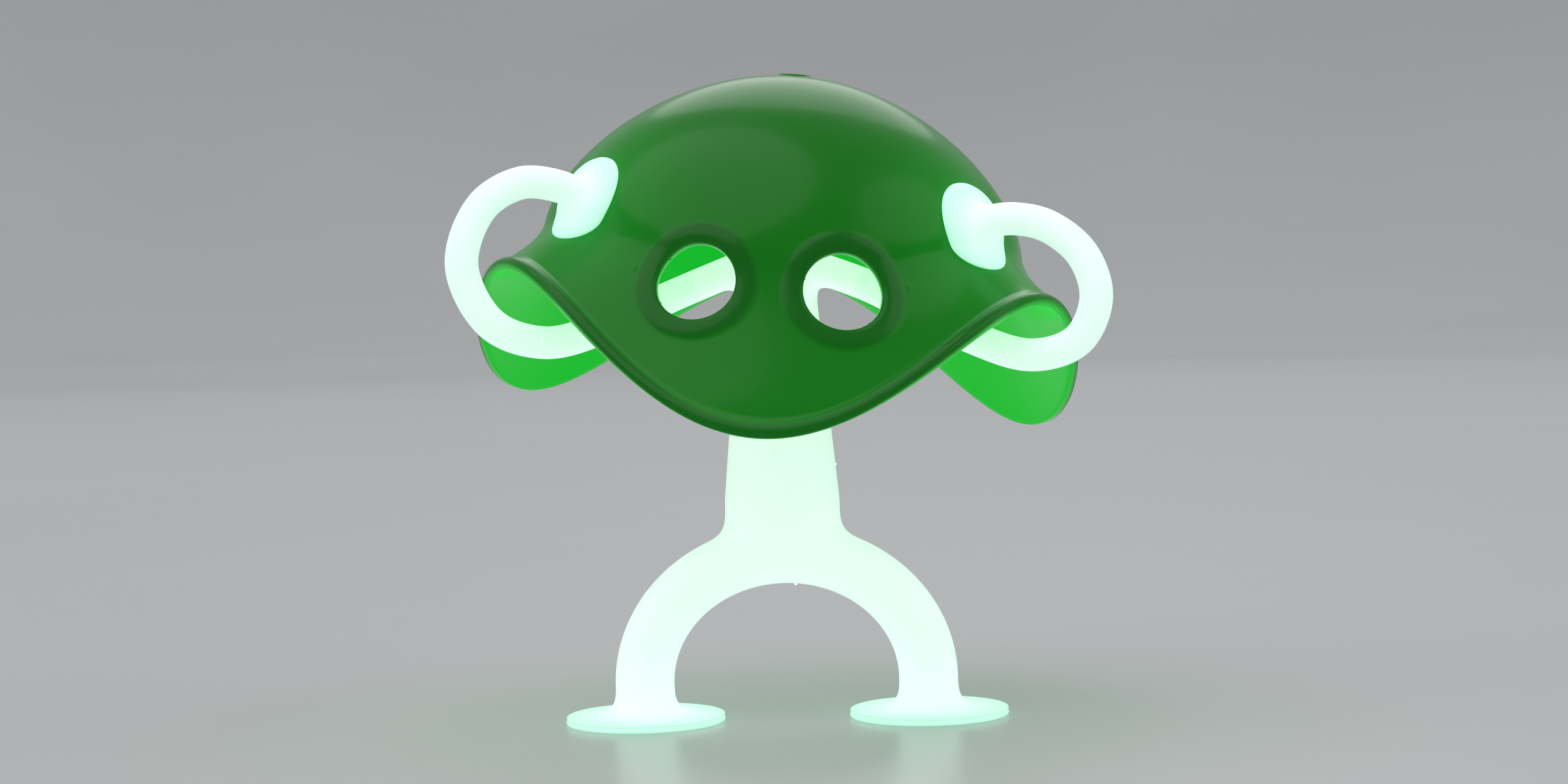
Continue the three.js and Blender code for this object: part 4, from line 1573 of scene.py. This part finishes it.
@dataclass
class Studio:
    """The floor, the lights and the camera.

    Attributes:
        lens: The camera's lens for a 36 mm wide sensor.
        distance: From the camera to the figure, in millimetres.
        aim_height: The height that it looks at.
        look_down: Degrees that it looks down.
        roll: Degrees that level lines rise to the right.
        side_step: How far right of the figure's axis the camera stands.
        floor_reach: The radius of the flat floor, in metres.
        cove: The radius of the cove beyond it, in metres.
        surround: The strength of the even light from all round.
        panels: Name, place and size in metres, and power of each soft panel.
    """

    lens: float = 65.68
    distance: float = 553.0
    aim_height: float = 61.9
    look_down: float = 2.0
    roll: float = 1.5
    side_step: float = 0.9
    floor_reach: float = 2.6
    cove: float = 1.4
    surround: float = 0.5
    panels: tuple[tuple[str, tuple[float, float, float], float, float], ...] = (
        ("key_panel", (-1.2, -0.8, 2.9), 4.4, 40.0),
        ("fill_panel", (2.2, -0.6, 1.9), 2.4, 9.0),
        ("back_panel", (0.2, 2.2, 2.0), 2.2, 12.0),
    )

    def build(self) -> None:
        """Sets up everything that isn't the object."""
        self.floor()
        self.lights()
        self.camera()

    def floor(self) -> None:
        """A wide pale floor that the feet stand on, and that rises far off in a smooth cove."""
        turns = np.radians(np.linspace(0, 90, 10))
        radii = np.concatenate([[self.floor_reach], self.floor_reach + self.cove * np.sin(turns)])
        heights = np.concatenate([[0], self.cove * (1 - np.cos(turns))])
        around = np.linspace(0, 2 * math.pi, 97)[:-1]
        points = [(0.0, 0.0, 0.0)]
        points += [(r * math.cos(a), r * math.sin(a), z) for r, z in zip(radii[1:], heights[1:]) for a in around]
        count = len(around)
        faces = [(0, 1 + i, 1 + (i + 1) % count) for i in range(count)]
        for ring in range(len(turns) - 1):
            first = [1 + ring * count + i for i in range(count)]
            faces += [face[::-1] for face in ring_faces(first, [i + count for i in first])]
        mesh = bpy.data.meshes.new("studio_floor")
        mesh.from_pydata(points, [], faces)
        mesh.polygons.foreach_set("use_smooth", [len(f) == 4 for f in faces])
        mesh.materials.append(PaleFloor().material())
        floor = bpy.data.objects.new("studio_floor", mesh)
        bpy.context.scene.collection.objects.link(floor)

    def lights(self) -> None:
        """Three large soft panels and an even surround."""
        world = bpy.data.worlds.new("studio_surround")
        world.use_nodes = True
        world.node_tree.nodes["Background"].inputs["Color"].default_value = (0.9, 0.93, 0.95, 1)
        world.node_tree.nodes["Background"].inputs["Strength"].default_value = self.surround
        bpy.context.scene.world = world
        bpy.context.scene.view_settings.view_transform = "Standard"
        for name, place, size, power in self.panels:
            light = bpy.data.lights.new(name, "AREA")
            light.shape = "DISK"
            light.size = size
            light.energy = power
            lamp = bpy.data.objects.new(name, light)
            lamp.location = place
            lamp.rotation_euler = (Vector((0, 0, 0.06)) - Vector(place)).to_track_quat("-Z", "Y").to_euler()
            bpy.context.scene.collection.objects.link(lamp)

    def camera(self) -> None:
        """A camera in front of the figure, a little above level."""
        data = bpy.data.cameras.new("camera")
        data.sensor_width = 36.0
        data.sensor_fit = "HORIZONTAL"
        data.lens = self.lens
        data.clip_start = 0.01
        camera = bpy.data.objects.new("camera", data)
        pitch, roll = math.radians(self.look_down), math.radians(self.roll)
        place = np.array([self.side_step, -self.distance * math.cos(pitch), self.aim_height + self.distance * math.sin(pitch)])
        right, up = np.array([1.0, 0, 0]), np.array([0, math.sin(pitch), math.cos(pitch)])
        x_axis = math.cos(roll) * right - math.sin(roll) * up
        y_axis = math.sin(roll) * right + math.cos(roll) * up
        turn = Matrix([x_axis, y_axis, np.cross(x_axis, y_axis)]).transposed().to_4x4()
        camera.matrix_world = Matrix.Translation(Vector(frame_point(place))) @ turn
        bpy.context.scene.collection.objects.link(camera)
        bpy.context.scene.camera = camera


def main() -> None:
    """Builds every sub-assembly in order."""
    logging.basicConfig(level=logging.INFO, format="%(name)s: %(message)s")
    Studio().build()
    pieces = [Shell().build(), *Figure().build()]
    for arm in ARMS:
        pieces += arm.build()
    pieces += MouldingMarks().build()
    for piece in pieces:
        log.info("%s: %d faces", piece.name, len(piece.data.polygons))


if __name__ == "__main__":
    main()
